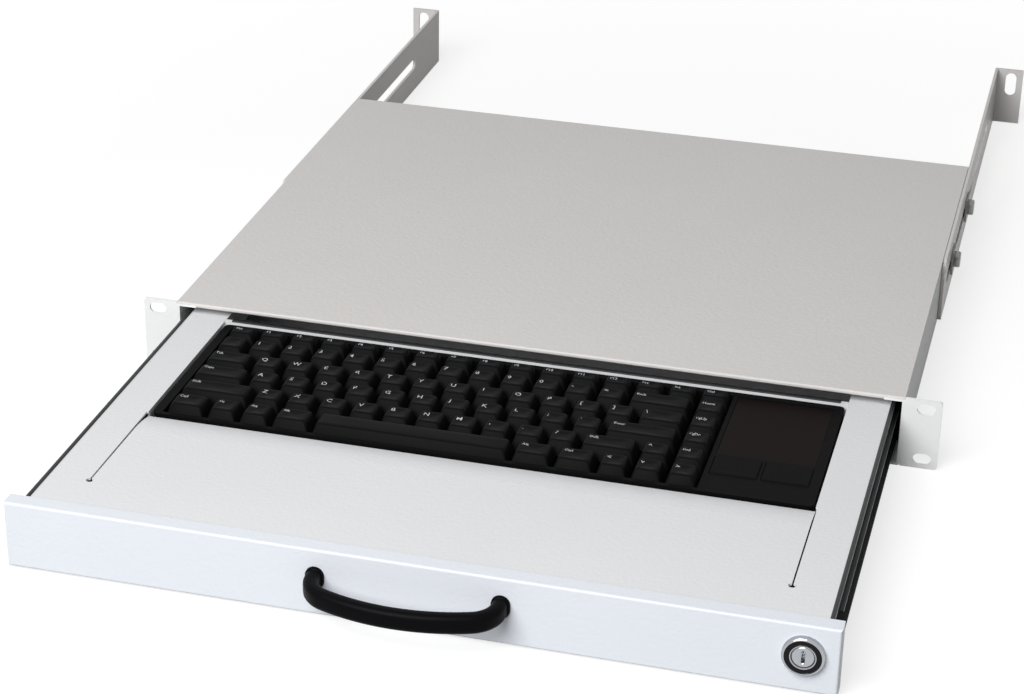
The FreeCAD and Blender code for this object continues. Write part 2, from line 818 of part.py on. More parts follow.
def make_drawer_deck():
    """The pale top sheet: side strips over the slides and a palm rest that slopes to a rolled rear edge.

    Behind the keyboard a narrow bridge with a lip joins the strips, and the cable opening lies behind it.
    """
    body = new_body("drawer_deck")
    slit_out = opening_half + s.slit_width
    palm_root = panel_inside + s.palm_root
    opening_rear = keyboard_rear + s.tail_gap
    bridge_rear = opening_rear + s.bridge_width
    outline = [
        (deck_half, panel_inside), (deck_half, opening_rear + s.deck_tail),
        (opening_half, opening_rear + s.deck_tail), (opening_half, opening_front),
        (slit_out, opening_front), (slit_out, palm_root),
    ]
    pad(body, "Z", deck_under, s.tray_sheet,
        polygon(*outline, *[(-u, v) for u, v in reversed(outline)]))
    pad(body, "Z", deck_under, s.tray_sheet,
        rectangle(-opening_half, opening_rear, opening_half, bridge_rear),
        rectangle(-opening_half, bridge_rear + s.cable_opening, opening_half, opening_rear + s.deck_tail))
    pad(body, "Z", deck_under - s.bridge_lip, s.bridge_lip,
        rectangle(-opening_half, opening_rear, opening_half, opening_rear + s.tray_sheet))
    palm_end = opening_front - s.tray_sheet
    low = deck_top - s.palm_drop
    roll_start = opening_front - s.palm_roll
    centre = low - s.palm_roll_radius
    under_radius = s.palm_roll_radius - s.tray_sheet
    under_roll = s.palm_roll - s.tray_sheet
    roll_end = centre + root(s.palm_roll_radius * s.palm_roll_radius - s.palm_roll * s.palm_roll)
    under_end = centre + root(under_radius * under_radius - under_roll * under_roll)
    pad(body, "X", -opening_half, opening_half * 2, curve(
        ((palm_root, deck_under), None), ((palm_root, deck_top), None),
        ((roll_start, low), (roll_start, centre, -1)), ((opening_front, roll_end), None),
        ((opening_front, roll_end - s.palm_lip), None), ((palm_end, roll_end - s.palm_lip), None),
        ((palm_end, under_end), (roll_start, centre, 1)), ((roll_start, low - s.tray_sheet), None),
    ))
    for side in SIDES:
        start, length = along_side(side, opening_half, opening_half + s.tray_sheet)
        pad(body, "X", start, length, rectangle(
            keyboard_front, deck_under - s.deck_skirt, opening_rear + s.deck_tail, deck_under))
    pocket(body, "Z", deck_under - s.palm_drop, s.tray_sheet + s.palm_drop, *[
        circle((opening_half + s.slit_width / 2) * side.sign, palm_root, s.relief_radius) for side in SIDES
    ])
    return finished(body)


def make_support_bar(label, middle):
    """A hat-section bar across the pan, which lifts and carries the keyboard."""
    body = new_body(label)
    crown = s.bar_crown / 2
    brim = crown + s.bar_brim
    half = [
        (brim, pan_floor), (brim, pan_floor + s.tray_sheet), (crown, pan_floor + s.tray_sheet),
        (crown, bar_top),
    ]
    inside = [(crown - s.tray_sheet, bar_top - s.tray_sheet), (crown - s.tray_sheet, pan_floor)]
    outline = half + [(-u, v) for u, v in reversed(half)]
    outline += [(-u, v) for u, v in reversed(inside)] + inside
    reach = opening_half - s.bar_end
    pad(body, "X", -reach, reach * 2, polygon(*[(u + middle, v) for u, v in outline]))
    return finished(body)


def make_front_panel():
    """The front sheet, folded back on all four edges."""
    body = new_body("front_panel")
    low = bottom + s.panel_bottom_trim
    high = top - s.panel_top_trim
    pad(body, "Y", panel_face, s.panel_return, rectangle(-panel_half, low, panel_half, high))
    fillet(body, s.panel_edge_radius, lies_at(y=panel_face, z=low), lies_at(y=panel_face, z=high),
           *[lies_at(x=panel_half * way, y=panel_face) for way in (-1, 1)])
    inner = panel_half - s.panel_sheet
    pocket(body, "Y", panel_inside, s.panel_return - s.panel_sheet,
           rectangle(-inner, low + s.panel_sheet, inner, high - s.panel_sheet))
    pocket(body, "Y", panel_face, s.panel_sheet,
           circle(lock_x, s.lock_rise, s.lock_barrel_radius + s.bore_clearance))
    return finished(body)


def handle_outline():
    """The handle seen from above: two legs, two bends and a wide bow, all of one width.

    The slant is the sine of the angle at which the bow runs into a bend, and the rise is its cosine.
    """
    foot = s.handle_span / 2
    half = s.handle_bar_width / 2
    leg_end = panel_face - s.handle_leg
    bend_x = foot - s.handle_bend
    slant = bend_x / (s.handle_bow - s.handle_bend)
    rise = root(1 - slant * slant)
    bow_y = leg_end + (s.handle_bow - s.handle_bend) * rise
    outline = []
    for grow, way in ((half, -1), (-half, 1)):
        side = foot + grow
        joint_x = (s.handle_bow + grow) * slant
        joint_y = bow_y - (s.handle_bow + grow) * rise
        outline += [
            ((side * way, panel_face), None),
            ((side * way, leg_end), (bend_x * way, leg_end, -way)),
            ((joint_x * way, joint_y), (0, bow_y, -way)),
            ((joint_x * -way, joint_y), (bend_x * -way, leg_end, -way)),
            ((side * -way, leg_end), None),
            ((side * -way, panel_face), None),
        ]
    return curve(*outline)


def make_pull_handle():
    """The bow handle: a bar with bevelled edges, on two wider feet."""
    body = new_body("pull_handle")
    low = s.handle_rise - s.handle_bar_height / 2
    pad(body, "Z", low, s.handle_bar_height, handle_outline())
    at_panel = lies_at(y=panel_face)
    levels = [lies_at(z=low), lies_at(z=low + s.handle_bar_height)]
    chamfer(body, s.handle_chamfer,
            lambda edge: any(level(edge) for level in levels) and not at_panel(edge))
    for way in (-1, 1):
        pad(body, "Y", panel_face - s.handle_foot_height, s.handle_foot_height, upright_slot(
            s.handle_span / 2 * way, s.handle_rise, s.handle_bar_height + s.handle_foot_growth,
            s.handle_bar_width + s.handle_foot_growth))
    return finished(body)


def make_lock():
    """The key lock: a barrel and nut in the panel, and the plug and cam that turn in it."""
    barrel = new_body("lock_barrel")
    bezel_face = panel_face - s.lock_bezel_height
    bore = s.lock_plug_radius + s.lock_plug_clearance
    length = s.lock_bezel_height + s.lock_barrel_length
    pad(barrel, "Y", panel_face, s.lock_barrel_length, circle(lock_x, s.lock_rise, s.lock_barrel_radius))
    pad(barrel, "Y", bezel_face, s.lock_bezel_height, circle(lock_x, s.lock_rise, s.lock_bezel_radius))
    chamfer(barrel, s.bend_radius, lies_at(y=bezel_face))
    pocket(barrel, "Y", bezel_face, length, circle(lock_x, s.lock_rise, bore))
    finished(barrel)

    nut = new_body("lock_nut")
    pad(nut, "Y", panel_inside, s.lock_nut_height, hexagon(lock_x, s.lock_rise, s.lock_nut_radius))
    pocket(nut, "Y", panel_inside, s.lock_nut_height,
           circle(lock_x, s.lock_rise, s.lock_barrel_radius + s.bore_clearance))
    finished(nut)

    plug = new_body("lock_plug")
    half_tang = s.cam_tang / 2
    tang = s.cam_clearance + s.cam_sheet
    pad(plug, "Y", bezel_face, length, circle(lock_x, s.lock_rise, s.lock_plug_radius))
    pad(plug, "Y", barrel_end, tang, rectangle(
        lock_x - half_tang, s.lock_rise - half_tang, lock_x + half_tang, s.lock_rise + half_tang))
    half_width, half_length = s.lock_keyway_width / 2, s.lock_keyway_length / 2
    pocket(plug, "Y", bezel_face, s.lock_keyway_depth, rectangle(
        lock_x - half_width, s.lock_rise - half_length, lock_x + half_width, s.lock_rise + half_length))
    finished(plug)

    cam = new_body("lock_cam")
    cam_length = s.cam_reach + s.cam_width / 2
    cam_middle = s.lock_rise + s.cam_width / 2 - cam_length / 2
    pad(cam, "Y", cam_front, s.cam_sheet, upright_slot(lock_x, cam_middle, cam_length, s.cam_width))
    half_hole = half_tang + s.bore_clearance
    pocket(cam, "Y", cam_front, s.cam_sheet, rectangle(
        lock_x - half_hole, s.lock_rise - half_hole, lock_x + half_hole, s.lock_rise + half_hole))
    finished(cam)


grommet_z = pan_under + s.pan_rear_height / 2


def make_cable_grommet():
    """The rubber bushing in the rear wall of the pan."""
    body = new_body("cable_grommet")
    neck_front = pan_rear - s.tray_sheet - s.grommet_lip
    neck_length = pan_rear - neck_front
    pad(body, "Y", neck_front, neck_length, circle(s.grommet_x, grommet_z, s.grommet_neck))
    pad(body, "Y", pan_rear, s.grommet_lip, circle(s.grommet_x, grommet_z, s.grommet_flange))
    pocket(body, "Y", neck_front, neck_length + s.grommet_lip,
           circle(s.grommet_x, grommet_z, s.grommet_bore))
    return finished(body)


def case_corners():
    return [
        lies_at(x=keyboard_half * way, y=edge) for way in (-1, 1) for edge in (keyboard_front, keyboard_rear)
    ]


def make_keyboard_base():
    """The lower shell of the keyboard."""
    body = new_body("keyboard_base")
    pad(body, "Z", base_under, s.base_height,
        rectangle(-keyboard_half, keyboard_front, keyboard_half, keyboard_rear))
    fillet(body, s.case_corner, *case_corners())
    inner = keyboard_half - s.base_wall
    pocket(body, "Z", base_inside, s.base_height - s.base_floor,
           rectangle(-inner, keyboard_front + s.base_wall, inner, keyboard_rear - s.base_wall))
    return finished(body)


def inner_sheet(label, level, thickness):
    """A flat sheet that lies inside the keyboard base."""
    body = new_body(label)
    inset = s.base_wall + s.board_inset
    half = keyboard_half - inset
    pad(body, "Z", level, thickness, rectangle(-half, keyboard_front + inset, half, keyboard_rear - inset))
    return finished(body)


def key_places():
    """Each cap: its row, its width in pitches, and the place and size of its cell, left and front first."""
    back = keys_back
    for label, widths in KEY_ROWS.items():
        depth = s.function_pitch if label == "function_keys" else s.row_pitch
        left = keys_left
        for units in widths:
            width = s.key_pitch * units
            yield label, units, left, back - depth, width, depth
            left = left + width
        back = back - depth


def stem_places(units, left, front, width, depth):
    """The middles of a cap's stems: one under a short cap, three under a long one."""
    shares = (0.5,) if units < SPACE_BAR_WIDTH / 2 else (0.15, 0.5, 0.85)
    return [(left + width * share, front + depth / 2) for share in shares]


def block(x, y, width, low, high):
    """A square block about a point, between two heights."""
    half = width / 2
    return Part.makeBox(width.value, width.value, (high - low).value, vector(x - half, y - half, low))


def level_ring(left, front, right, back, level):
    """The corners of a rectangle at one height."""
    corners = [(left, front), (right, front), (right, back), (left, back)]
    return [vector(x, y, level) for x, y in corners]


def key_cap(units, left, front, width, depth):
    """A tapered cap with its guide stems."""
    gap = s.cap_gap / 2
    stems = stem_places(units, left, front, width, depth)
    right, back = left + width - gap, front + depth - gap
    left, front = left + gap, front + gap
    cap = ringed_solid(
        level_ring(left, front, right, back, cap_under),
        level_ring(left + s.cap_side_draft, front + s.cap_front_draft, right - s.cap_side_draft,
                   back - s.cap_back_draft, cap_under + s.cap_height),
    )
    return cap.fuse([block(x, y, s.stem_width, stem_under, cap_under) for x, y in stems])


def make_keys():
    """The caps of each row, with the space bar on its own."""
    caps = {label: [] for label in [*KEY_ROWS, "space_bar"]}
    for label, units, *cell in key_places():
        caps["space_bar" if units == SPACE_BAR_WIDTH else label].append(key_cap(units, *cell))
    for label, shapes in caps.items():
        group(label, shapes)


pad_left = keys_right + s.pad_gap
pad_right = pad_left + s.pad_zone
pad_front = keys_back - s.pad_depth
button_back = pad_front - s.button_gap
button_front = button_back - s.button_depth
button_middle = (pad_left + pad_right) / 2
button_cells = {
    "left_touchpad_button": (pad_left, button_middle - s.button_web / 2),
    "right_touchpad_button": (button_middle + s.button_web / 2, pad_right),
}


def stem_slots():
    """The slot of each row of keys in the guide plate, from the row's first stem to its last."""
    reach = s.stem_width / 2 + s.guide_clearance
    rows = {label: [] for label in KEY_ROWS}
    for label, units, *cell in key_places():
        rows[label] += stem_places(units, *cell)
    return [
        rectangle(stems[0][0] - reach, stems[0][1] - reach, stems[-1][0] + reach, stems[0][1] + reach)
        for stems in rows.values()
    ]


def make_keyboard_top_case():
    """The upper shell: the key window with its guide plate, and the recesses of the touchpad."""
    body = new_body("keyboard_top_case")
    pad(body, "Z", case_under, case_top - case_under,
        rectangle(-keyboard_half, keyboard_front, keyboard_half, keyboard_rear))
    fillet(body, s.case_corner, *case_corners())
    c = s.window_clearance
    pocket(body, "Z", plate_top, s.window_depth,
           rectangle(keys_left - c, keys_front - c, keys_right + c, keys_back + c))
    pocket(body, "Z", case_under, s.case_cavity,
           rectangle(keys_left, keys_front, keys_right, keys_back))
    pocket(body, "Z", case_top - s.pad_recess, s.pad_recess,
           rectangle(pad_left, pad_front, pad_right, keys_back))
    pocket(body, "Z", case_top - s.button_recess, s.button_recess, *[
        rectangle(left, button_front, right, button_back) for left, right in button_cells.values()
    ])
    pocket(body, "Z", plate_under, s.plate_thickness, *stem_slots())
    return finished(body)


def make_touchpad():
    """The touch surface, and its two buttons, which rest above the floor of their recesses."""
    surface = new_body("touchpad_surface")
    c = s.pad_clearance
    pad(surface, "Z", case_top - s.pad_recess, s.pad_thickness,
        rectangle(pad_left + c, pad_front + c, pad_right - c, keys_back - c))
    finished(surface)
    lift = s.button_travel + s.press_clearance
    height = s.button_recess - lift + s.button_proud
    g = s.guide_clearance
    for label, (left, right) in button_cells.items():
        button = new_body(label)
        pad(button, "Z", case_top - s.button_recess + lift, height,
            rectangle(left + g, button_front + g, right - g, button_back - g))
        chamfer(button, s.button_proud, lies_at(z=case_top + s.button_proud))
        finished(button)


bar_places = {
    "front_support_bar": keyboard_front + s.bar_inset,
    "rear_support_bar": keyboard_rear - s.bar_inset,
}


def make_keyboard_feet():
    """The rubber pads between the keyboard and the support bars."""
    return group("keyboard_feet", [
        block((keyboard_half - s.foot_inset) * way, place, s.foot_width, bar_top, base_under)
        for way in (-1, 1) for place in bar_places.values()
    ])


def build():
    """Make every sub-part."""
    make_top_cover()
    make_rear_brace()
    for side in SIDES:
        make_side_plate(side)
        make_housing_rail(side)
        make_drawer_rail(side)
        make_ball_cage(side)
        make_rear_bracket(side)
    make_bearing_balls()
    make_bracket_hardware()
    make_drawer_pan()
    make_drawer_deck()
    for label, middle in bar_places.items():
        make_support_bar(label, middle)
    make_front_panel()
    make_pull_handle()
    make_lock()
    make_cable_grommet()
    make_keyboard_base()
    inner_sheet("circuit_board", base_inside, s.board_thickness)
    inner_sheet("switch_mat", board_top, s.mat_thickness)
    make_keyboard_top_case()
    make_keys()
    make_touchpad()
    make_keyboard_feet()
    doc.recompute()


def check():
    """Stop before anything is written if a feature failed or a shape isn't sound."""
    failed = [item.Name for item in doc.Objects if {"Invalid", "Error"} & set(item.State)]
    failed += [item.Label for item in nodes if item.Shape.isNull() or not item.Shape.isValid()]
    if failed:
        raise RuntimeError(f"not built: {', '.join(failed)}")


def write():
    """Write one file for each node."""
    os.makedirs("parts", exist_ok=True)
    for item in nodes:
        item.Shape.exportStep(f"parts/{item.Label}.step")


build()
check()
write()
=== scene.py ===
"""The rack keyboard shelf dressed for the eye.

Finishes, key caps with legends, fasteners, deck edging, handle, lock, studio light and camera.
The sizes of the shelf's own pieces are in millimetres, and those of the studio in metres.
"""

import logging
import math
from collections.abc import Iterator, Sequence
from dataclasses import dataclass, field
from enum import Enum

import bmesh
import bpy
from mathutils import Matrix, Vector


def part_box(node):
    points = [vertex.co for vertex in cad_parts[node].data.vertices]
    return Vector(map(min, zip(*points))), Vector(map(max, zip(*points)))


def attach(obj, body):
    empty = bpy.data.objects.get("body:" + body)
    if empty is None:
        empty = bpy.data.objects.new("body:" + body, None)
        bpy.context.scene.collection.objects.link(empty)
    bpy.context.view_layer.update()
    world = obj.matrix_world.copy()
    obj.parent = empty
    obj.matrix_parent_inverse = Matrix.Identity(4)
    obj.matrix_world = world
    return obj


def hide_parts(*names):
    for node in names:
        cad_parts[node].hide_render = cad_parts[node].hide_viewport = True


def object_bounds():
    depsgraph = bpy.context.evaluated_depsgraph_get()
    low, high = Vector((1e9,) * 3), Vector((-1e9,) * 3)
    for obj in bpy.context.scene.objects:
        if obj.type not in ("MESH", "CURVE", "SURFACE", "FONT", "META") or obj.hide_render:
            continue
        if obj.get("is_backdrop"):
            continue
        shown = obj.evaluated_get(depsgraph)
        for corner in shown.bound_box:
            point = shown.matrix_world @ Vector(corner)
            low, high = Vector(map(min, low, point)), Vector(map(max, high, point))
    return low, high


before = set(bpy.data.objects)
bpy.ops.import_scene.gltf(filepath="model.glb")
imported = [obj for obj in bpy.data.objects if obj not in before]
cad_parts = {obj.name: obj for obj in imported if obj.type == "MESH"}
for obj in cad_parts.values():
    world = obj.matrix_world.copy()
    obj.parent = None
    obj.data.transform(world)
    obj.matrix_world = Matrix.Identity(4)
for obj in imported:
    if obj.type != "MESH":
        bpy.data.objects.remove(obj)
CAD_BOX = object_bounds()
LOG = logging.getLogger("rack_keyboard_shelf")
MM = 0.001
# Keeps a division by a cosine from failing where the cosine is nought.
TINY = 1e-9
# Half the width of a cross recess's arms, as a share of its radius.
CROSS_ARM = 0.24
# The values that most points of a noise pattern lie between.
NOISE_SPREAD = (0.3, 0.7)

Tree = bpy.types.NodeTree
Socket = bpy.types.NodeSocket
Ring = list[Vector]


class Side(Enum):
    """The two sides of the shelf, by the sign of X."""

    LEFT = -1
    RIGHT = 1


class Outline(Enum):
    """The section of a turned or pressed piece."""

    ROUND = "round"
    HEXAGON = "hexagon"
    CROSS = "cross"


def linear(colour: str) -> tuple[float, float, float, float]:
    """Turns an sRGB hex value to a linear colour.

    Args:
        colour: The value as #RRGGBB.

    Returns:
        Red, green, blue and an alpha of 1.
    """
    shares = [int(colour[place:place + 2], 16) / 255 for place in (1, 3, 5)]
    return (*(c / 12.92 if c <= 0.04045 else ((c + 0.055) / 1.055) ** 2.4 for c in shares), 1.0)


def scale_for(size_mm: float) -> float:
    """The texture scale at which one cell of a pattern is that many millimetres wide."""
    return 1000.0 / size_mm


def add_node(tree: Tree, kind: str, links: dict[str | int, object] | None = None,
             **settings: object) -> bpy.types.Node:
    """Adds a node with its settings and links.

    Args:
        tree: The tree that gets the node.
        kind: The node's type.
        links: For each input, the socket that feeds it or its plain value.
        settings: The node's own properties.

    Returns:
        The new node.
    """
    node = tree.nodes.new(kind)
    for name, value in settings.items():
        setattr(node, name, value)
    for place, source in (links or {}).items():
        if isinstance(source, Socket):
            tree.links.new(source, node.inputs[place])
        else:
            node.inputs[place].default_value = source
    return node


@dataclass(frozen=True)
class Finish:
    """A surface as it was made: two close tones, a range of gloss and a fine relief.

    The tones lie in clouds tone_mm wide, and the relief has grains relief_mm wide and relief_depth_mm high.
    The mirror value is the specular level. Paints and black plastics have less than the real ones, because
    the white surround that they mirror would pale them.
    """

    name: str
    colour: str
    shade: str
    gloss: tuple[float, float]
    tone_mm: float
    relief_mm: float
    relief_depth_mm: float
    metallic: float = 0.0
    ior: float = 1.5
    mirror: float = 0.5

    def material(self) -> bpy.types.Material:
        """The finish as a material, made the first time it is asked for.

        Returns:
            The material.
        """
        made = bpy.data.materials.get(self.name)
        if made is None:
            made = bpy.data.materials.new(self.name)
            made.use_nodes = True
            tree = made.node_tree
            self.dress(tree, tree.nodes["Principled BSDF"])
        return made

    def place(self, tree: Tree) -> Socket:
        """The coordinates that the patterns follow."""
        return add_node(tree, "ShaderNodeTexCoord").outputs["Object"]

    def tone(self, tree: Tree, place: Socket) -> Socket:
        """The share of the second tone at each point.

        Args:
            tree: The material's tree.
            place: The coordinates.

        Returns:
            The share, from 0 to 1.
        """
        return add_node(tree, "ShaderNodeTexNoise", {
            "Vector": place, "Scale": scale_for(self.tone_mm), "Detail": 4.0, "Roughness": 0.55,
        }).outputs["Fac"]

    def roughness(self, tree: Tree, grain: Socket) -> Socket:
        """The roughness at each point, from the relief.

        Args:
            tree: The material's tree.
            grain: The height of the relief, from 0 to 1.

        Returns:
            The roughness.
        """
        least, most = NOISE_SPREAD
        low, high = self.gloss
        return add_node(tree, "ShaderNodeMapRange", {
            "Value": grain, "From Min": least, "From Max": most, "To Min": low, "To Max": high,
        }).outputs["Result"]

    def dress(self, tree: Tree, shader: bpy.types.Node) -> None:
        """Feeds the shader with the tones, the gloss and the relief.

        Args:
            tree: The material's tree.
            shader: Its surface shader.
        """
        place = self.place(tree)
        mix = add_node(tree, "ShaderNodeMix", {
            0: self.tone(tree, place), 6: linear(self.colour), 7: linear(self.shade),
        }, data_type="RGBA")
        grain = add_node(tree, "ShaderNodeTexNoise", {
            "Vector": place, "Scale": scale_for(self.relief_mm), "Detail": 2.0,
        }).outputs["Fac"]
        bump = add_node(tree, "ShaderNodeBump", {
            "Height": grain, "Strength": 0.6, "Distance": self.relief_depth_mm * MM,
        })
        tree.links.new(mix.outputs[2], shader.inputs["Base Color"])
        tree.links.new(self.roughness(tree, grain), shader.inputs["Roughness"])
        tree.links.new(bump.outputs["Normal"], shader.inputs["Normal"])
        shader.inputs["Metallic"].default_value = self.metallic
        if not self.metallic:
            shader.inputs["IOR"].default_value = self.ior
            shader.inputs["Specular IOR Level"].default_value = self.mirror


@dataclass(frozen=True)
class RolledFinish(Finish):
    """A rolled metal, whose tones and relief are drawn out along the depth of the shelf."""

    draw_out: float = 40.0

    def place(self, tree: Tree) -> Socket:
        """The coordinates, squeezed along the rolling direction.

        Args:
            tree: The material's tree.

        Returns:
            The squeezed coordinates.
        """
        return add_node(tree, "ShaderNodeMapping", {
            "Vector": super().place(tree), "Scale": (1.0, 1.0 / self.draw_out, 1.0),
        }).outputs["Vector"]


@dataclass(frozen=True)
class CrystalFinish(Finish):
    """A plated metal, whose tone changes from one zinc crystal to the next."""

    def tone(self, tree: Tree, place: Socket) -> Socket:
        """One tone for each crystal."""
        cells = add_node(tree, "ShaderNodeTexVoronoi", {"Vector": place, "Scale": scale_for(self.tone_mm)})
        return add_node(tree, "ShaderNodeSeparateColor", {"Color": cells.outputs["Color"]}).outputs["Red"]


@dataclass(frozen=True)
class TouchedFinish(Finish):
    """A moulded plastic that fingers have polished where the piece's touch attribute is high."""

    polish: float = 0.1

    def roughness(self, tree: Tree, grain: Socket) -> Socket:
        """The moulded roughness, less the polish.

        Args:
            tree: The material's tree.
            grain: The height of the relief, from 0 to 1.

        Returns:
            The roughness.
        """
        touch = add_node(tree, "ShaderNodeAttribute", attribute_name="touch").outputs["Fac"]
        worn = add_node(tree, "ShaderNodeMath", {0: touch, 1: self.polish}, operation="MULTIPLY").outputs[0]
        return add_node(tree, "ShaderNodeMath", {
            0: super().roughness(tree, grain), 1: worn,
        }, operation="SUBTRACT").outputs[0]


@dataclass(frozen=True)
class TrackedFinish(Finish):
    """A circuit board, whose second tone is the copper tracks that show through its lacquer."""

    track_share: float = 0.06

    def tone(self, tree: Tree, place: Socket) -> Socket:
        """The tracks, as the joints between the fields of the board.

        Args:
            tree: The material's tree.
            place: The coordinates.

        Returns:
            One on a track, nought beside it.
        """
        return add_node(tree, "ShaderNodeTexBrick", {
            "Vector": place, "Scale": scale_for(self.tone_mm), "Mortar Size": self.track_share,
        }).outputs["Fac"]


# Powder coat on sheet steel: a soft even grey with an orange peel of 1 mm, drawn coarser and deeper to show.
HOUSING_PAINT = Finish(
    "powder_coat_light_grey", "#DAD7D5", "#D4D1CF", gloss=(0.3, 0.4), tone_mm=110.0, relief_mm=2.8,
    relief_depth_mm=0.45, ior=1.52, mirror=0.14)
# The same coat in a paler tone: the deck and the pan look nearly white, with a silky sheen.
DRAWER_PAINT = Finish(
    "powder_coat_pale_grey", "#E4E5E7", "#DFE0E2", gloss=(0.38, 0.48), tone_mm=120.0, relief_mm=2.4,
    relief_depth_mm=0.26, ior=1.52, mirror=0.14)
# The panel's batch of that coat: a touch cooler, so that its face reads faintly blue beside the deck.
PANEL_PAINT = Finish(
    "powder_coat_cool_grey", "#E5E9F0", "#E0E4EB", gloss=(0.38, 0.48), tone_mm=120.0, relief_mm=2.4,
    relief_depth_mm=0.26, ior=1.52, mirror=0.2)
# White powder coat on the side plates: the ears stand out bright against the grey top.
SIDE_PAINT = Finish(
    "powder_coat_white", "#F6F7F7", "#F1F2F2", gloss=(0.42, 0.54), tone_mm=110.0, relief_mm=2.4,
    relief_depth_mm=0.26, ior=1.52, mirror=0.06)
# Rolled steel under a black passivate: almost black, with long dull streaks and a low shine.
SLIDE_STEEL = RolledFinish(
    "black_passivated_rolled_steel", "#2E3031", "#232526", gloss=(0.34, 0.5), tone_mm=3.0, relief_mm=1.2,
    relief_depth_mm=0.02, metallic=0.55)
# Dulled zinc plate: a neutral grey metal whose crystals catch the light one by one.
ZINC_STEEL = CrystalFinish(
    "dulled_zinc_plated_steel", "#8B8B8A", "#797978", gloss=(0.3, 0.44), tone_mm=3.5, relief_mm=0.9,
    relief_depth_mm=0.01, metallic=1.0)
# Lapped bearing steel: small mirrors.
BALL_STEEL = Finish(
    "lapped_bearing_steel", "#C9CBCE", "#BFC2C6", gloss=(0.08, 0.14), tone_mm=2.0, relief_mm=0.8,
    relief_depth_mm=0.001, metallic=1.0)
# Chromed zinc casting: a bright mirror with a slight cast waviness.
LOCK_CHROME = Finish(
    "chromed_zinc_casting", "#B4B6BA", "#A2A5AA", gloss=(0.1, 0.2), tone_mm=6.0, relief_mm=3.0,
    relief_depth_mm=0.012, metallic=1.0)
# Painted reflection: glossy black paint in the groove of the bezel, a dark ring round the plug that stands in
# for the dark surroundings the chrome would mirror.
LOCK_PAINTED_REFLECTION = Finish(
    "black_painted_reflection_ring", "#101012", "#161618", gloss=(0.2, 0.3), tone_mm=5.0, relief_mm=0.8,
    relief_depth_mm=0.004, ior=1.5, mirror=0.12)
# Moulded nylon: deep black with a satin bloom from its spark-eroded mould, its grain drawn a little coarse.
HANDLE_NYLON = Finish(
    "moulded_black_nylon", "#08080A", "#0B0B0D", gloss=(0.3, 0.42), tone_mm=30.0, relief_mm=0.9,
    relief_depth_mm=0.03, ior=1.53, mirror=0.03)
# Moulded ABS housing: charcoal black with a fine matt texture that breaks up the highlights.
CASE_ABS = Finish(
    "textured_black_abs", "#0C0C0D", "#101011", gloss=(0.46, 0.6), tone_mm=40.0, relief_mm=0.7,
    relief_depth_mm=0.05, ior=1.54, mirror=0.02)
# Moulded ABS key caps: the same black, smoother, and polished by fingers in the dish.
KEY_ABS = TouchedFinish(
    "satin_black_abs", "#0C0C0D", "#101011", gloss=(0.36, 0.46), tone_mm=25.0, relief_mm=0.6,
    relief_depth_mm=0.02, ior=1.54, mirror=0.022)
# Pad printed legend ink: a dull off-white film with slight gaps in its cover.
LEGEND_INK = Finish(
    "pad_printed_white_ink", "#CDD0D3", "#AEB1B5", gloss=(0.5, 0.65), tone_mm=0.8, relief_mm=0.4,
    relief_depth_mm=0.005)
# Embossed polyester film: a smooth, faintly brown black that shows broad soft reflections.
PAD_FILM = Finish(
    "embossed_polyester_film", "#140F0E", "#181211", gloss=(0.3, 0.38), tone_mm=45.0, relief_mm=0.8,
    relief_depth_mm=0.012, ior=1.57, mirror=0.013)
# Nitrile rubber: dead matt black with a chalky bloom.
BLACK_RUBBER = Finish(
    "matt_nitrile_rubber", "#161616", "#222222", gloss=(0.72, 0.88), tone_mm=9.0, relief_mm=0.8,
    relief_depth_mm=0.04, ior=1.52)
# Extruded vinyl: a smooth dark grey edging that mirrors a soft line of the background.
TRIM_VINYL = Finish(
    "extruded_grey_vinyl", "#2B2C2D", "#242526", gloss=(0.3, 0.4), tone_mm=20.0, relief_mm=2.5,
    relief_depth_mm=0.004, ior=1.53, mirror=0.2)
# Glass fibre laminate under green lacquer, with paler copper tracks beneath.
BOARD_LAMINATE = TrackedFinish(
    "lacquered_glass_laminate", "#14522F", "#2C7A45", gloss=(0.28, 0.4), tone_mm=6.0, relief_mm=0.6,
    relief_depth_mm=0.01, ior=1.55)


def coat(finish: Finish, *nodes: str) -> None:
    """Gives CAD nodes a finish.

    Args:
        finish: The finish.
        nodes: The nodes' names.
    """
    for name in nodes:
        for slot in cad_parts[name].material_slots:
            slot.material = finish.material()
        LOG.info("%s: %s", name, finish.name)


def new_piece(name: str, mesh: bpy.types.Mesh) -> bpy.types.Object:
    """Puts a mesh in the scene as an object at the origin.

    Args:
        name: The object's name.
        mesh: The mesh, in place.

    Returns:
        The object.
    """
    piece = bpy.data.objects.new(name, mesh)
    bpy.context.scene.collection.objects.link(piece)
    return piece


def settle(piece: bpy.types.Object, body: str, slot: str, *nodes: str) -> None:
    """Fixes a finished piece to its body.

    Args:
        piece: The piece, in place.
        body: The CAD body that it moves with.
        slot: The record's material slot of its finish. Not used.
        nodes: The CAD nodes that it stands for.
    """
    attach(piece, body)
    if nodes:
        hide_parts(*nodes)
    LOG.info("%s: on %s, %d faces", piece.name, body, len(piece.data.polygons))


def ring(outline: Outline, radius: float, level: float, count: int = 24) -> Ring:
    """Points round the Z axis.

    Args:
        outline: The section's shape.
        radius: The radius of its outer circle, in mm.
        level: Its height, in mm.
        count: How many points.

    Returns:
        The points, in mm.
    """
    points = []
    for step in range(count):
        angle = math.tau * step / count
        across, along = abs(math.cos(angle)) + TINY, abs(math.sin(angle)) + TINY
        reach = radius
        if outline is Outline.HEXAGON:
            reach *= math.cos(math.pi / 6) / math.cos(angle % (math.pi / 3) - math.pi / 6)
        elif outline is Outline.CROSS:
            arm = CROSS_ARM * radius
            reach = max(min(radius / across, arm / along), min(arm / across, radius / along))
        points.append(Vector((reach * math.cos(angle), reach * math.sin(angle), level)))
    return points


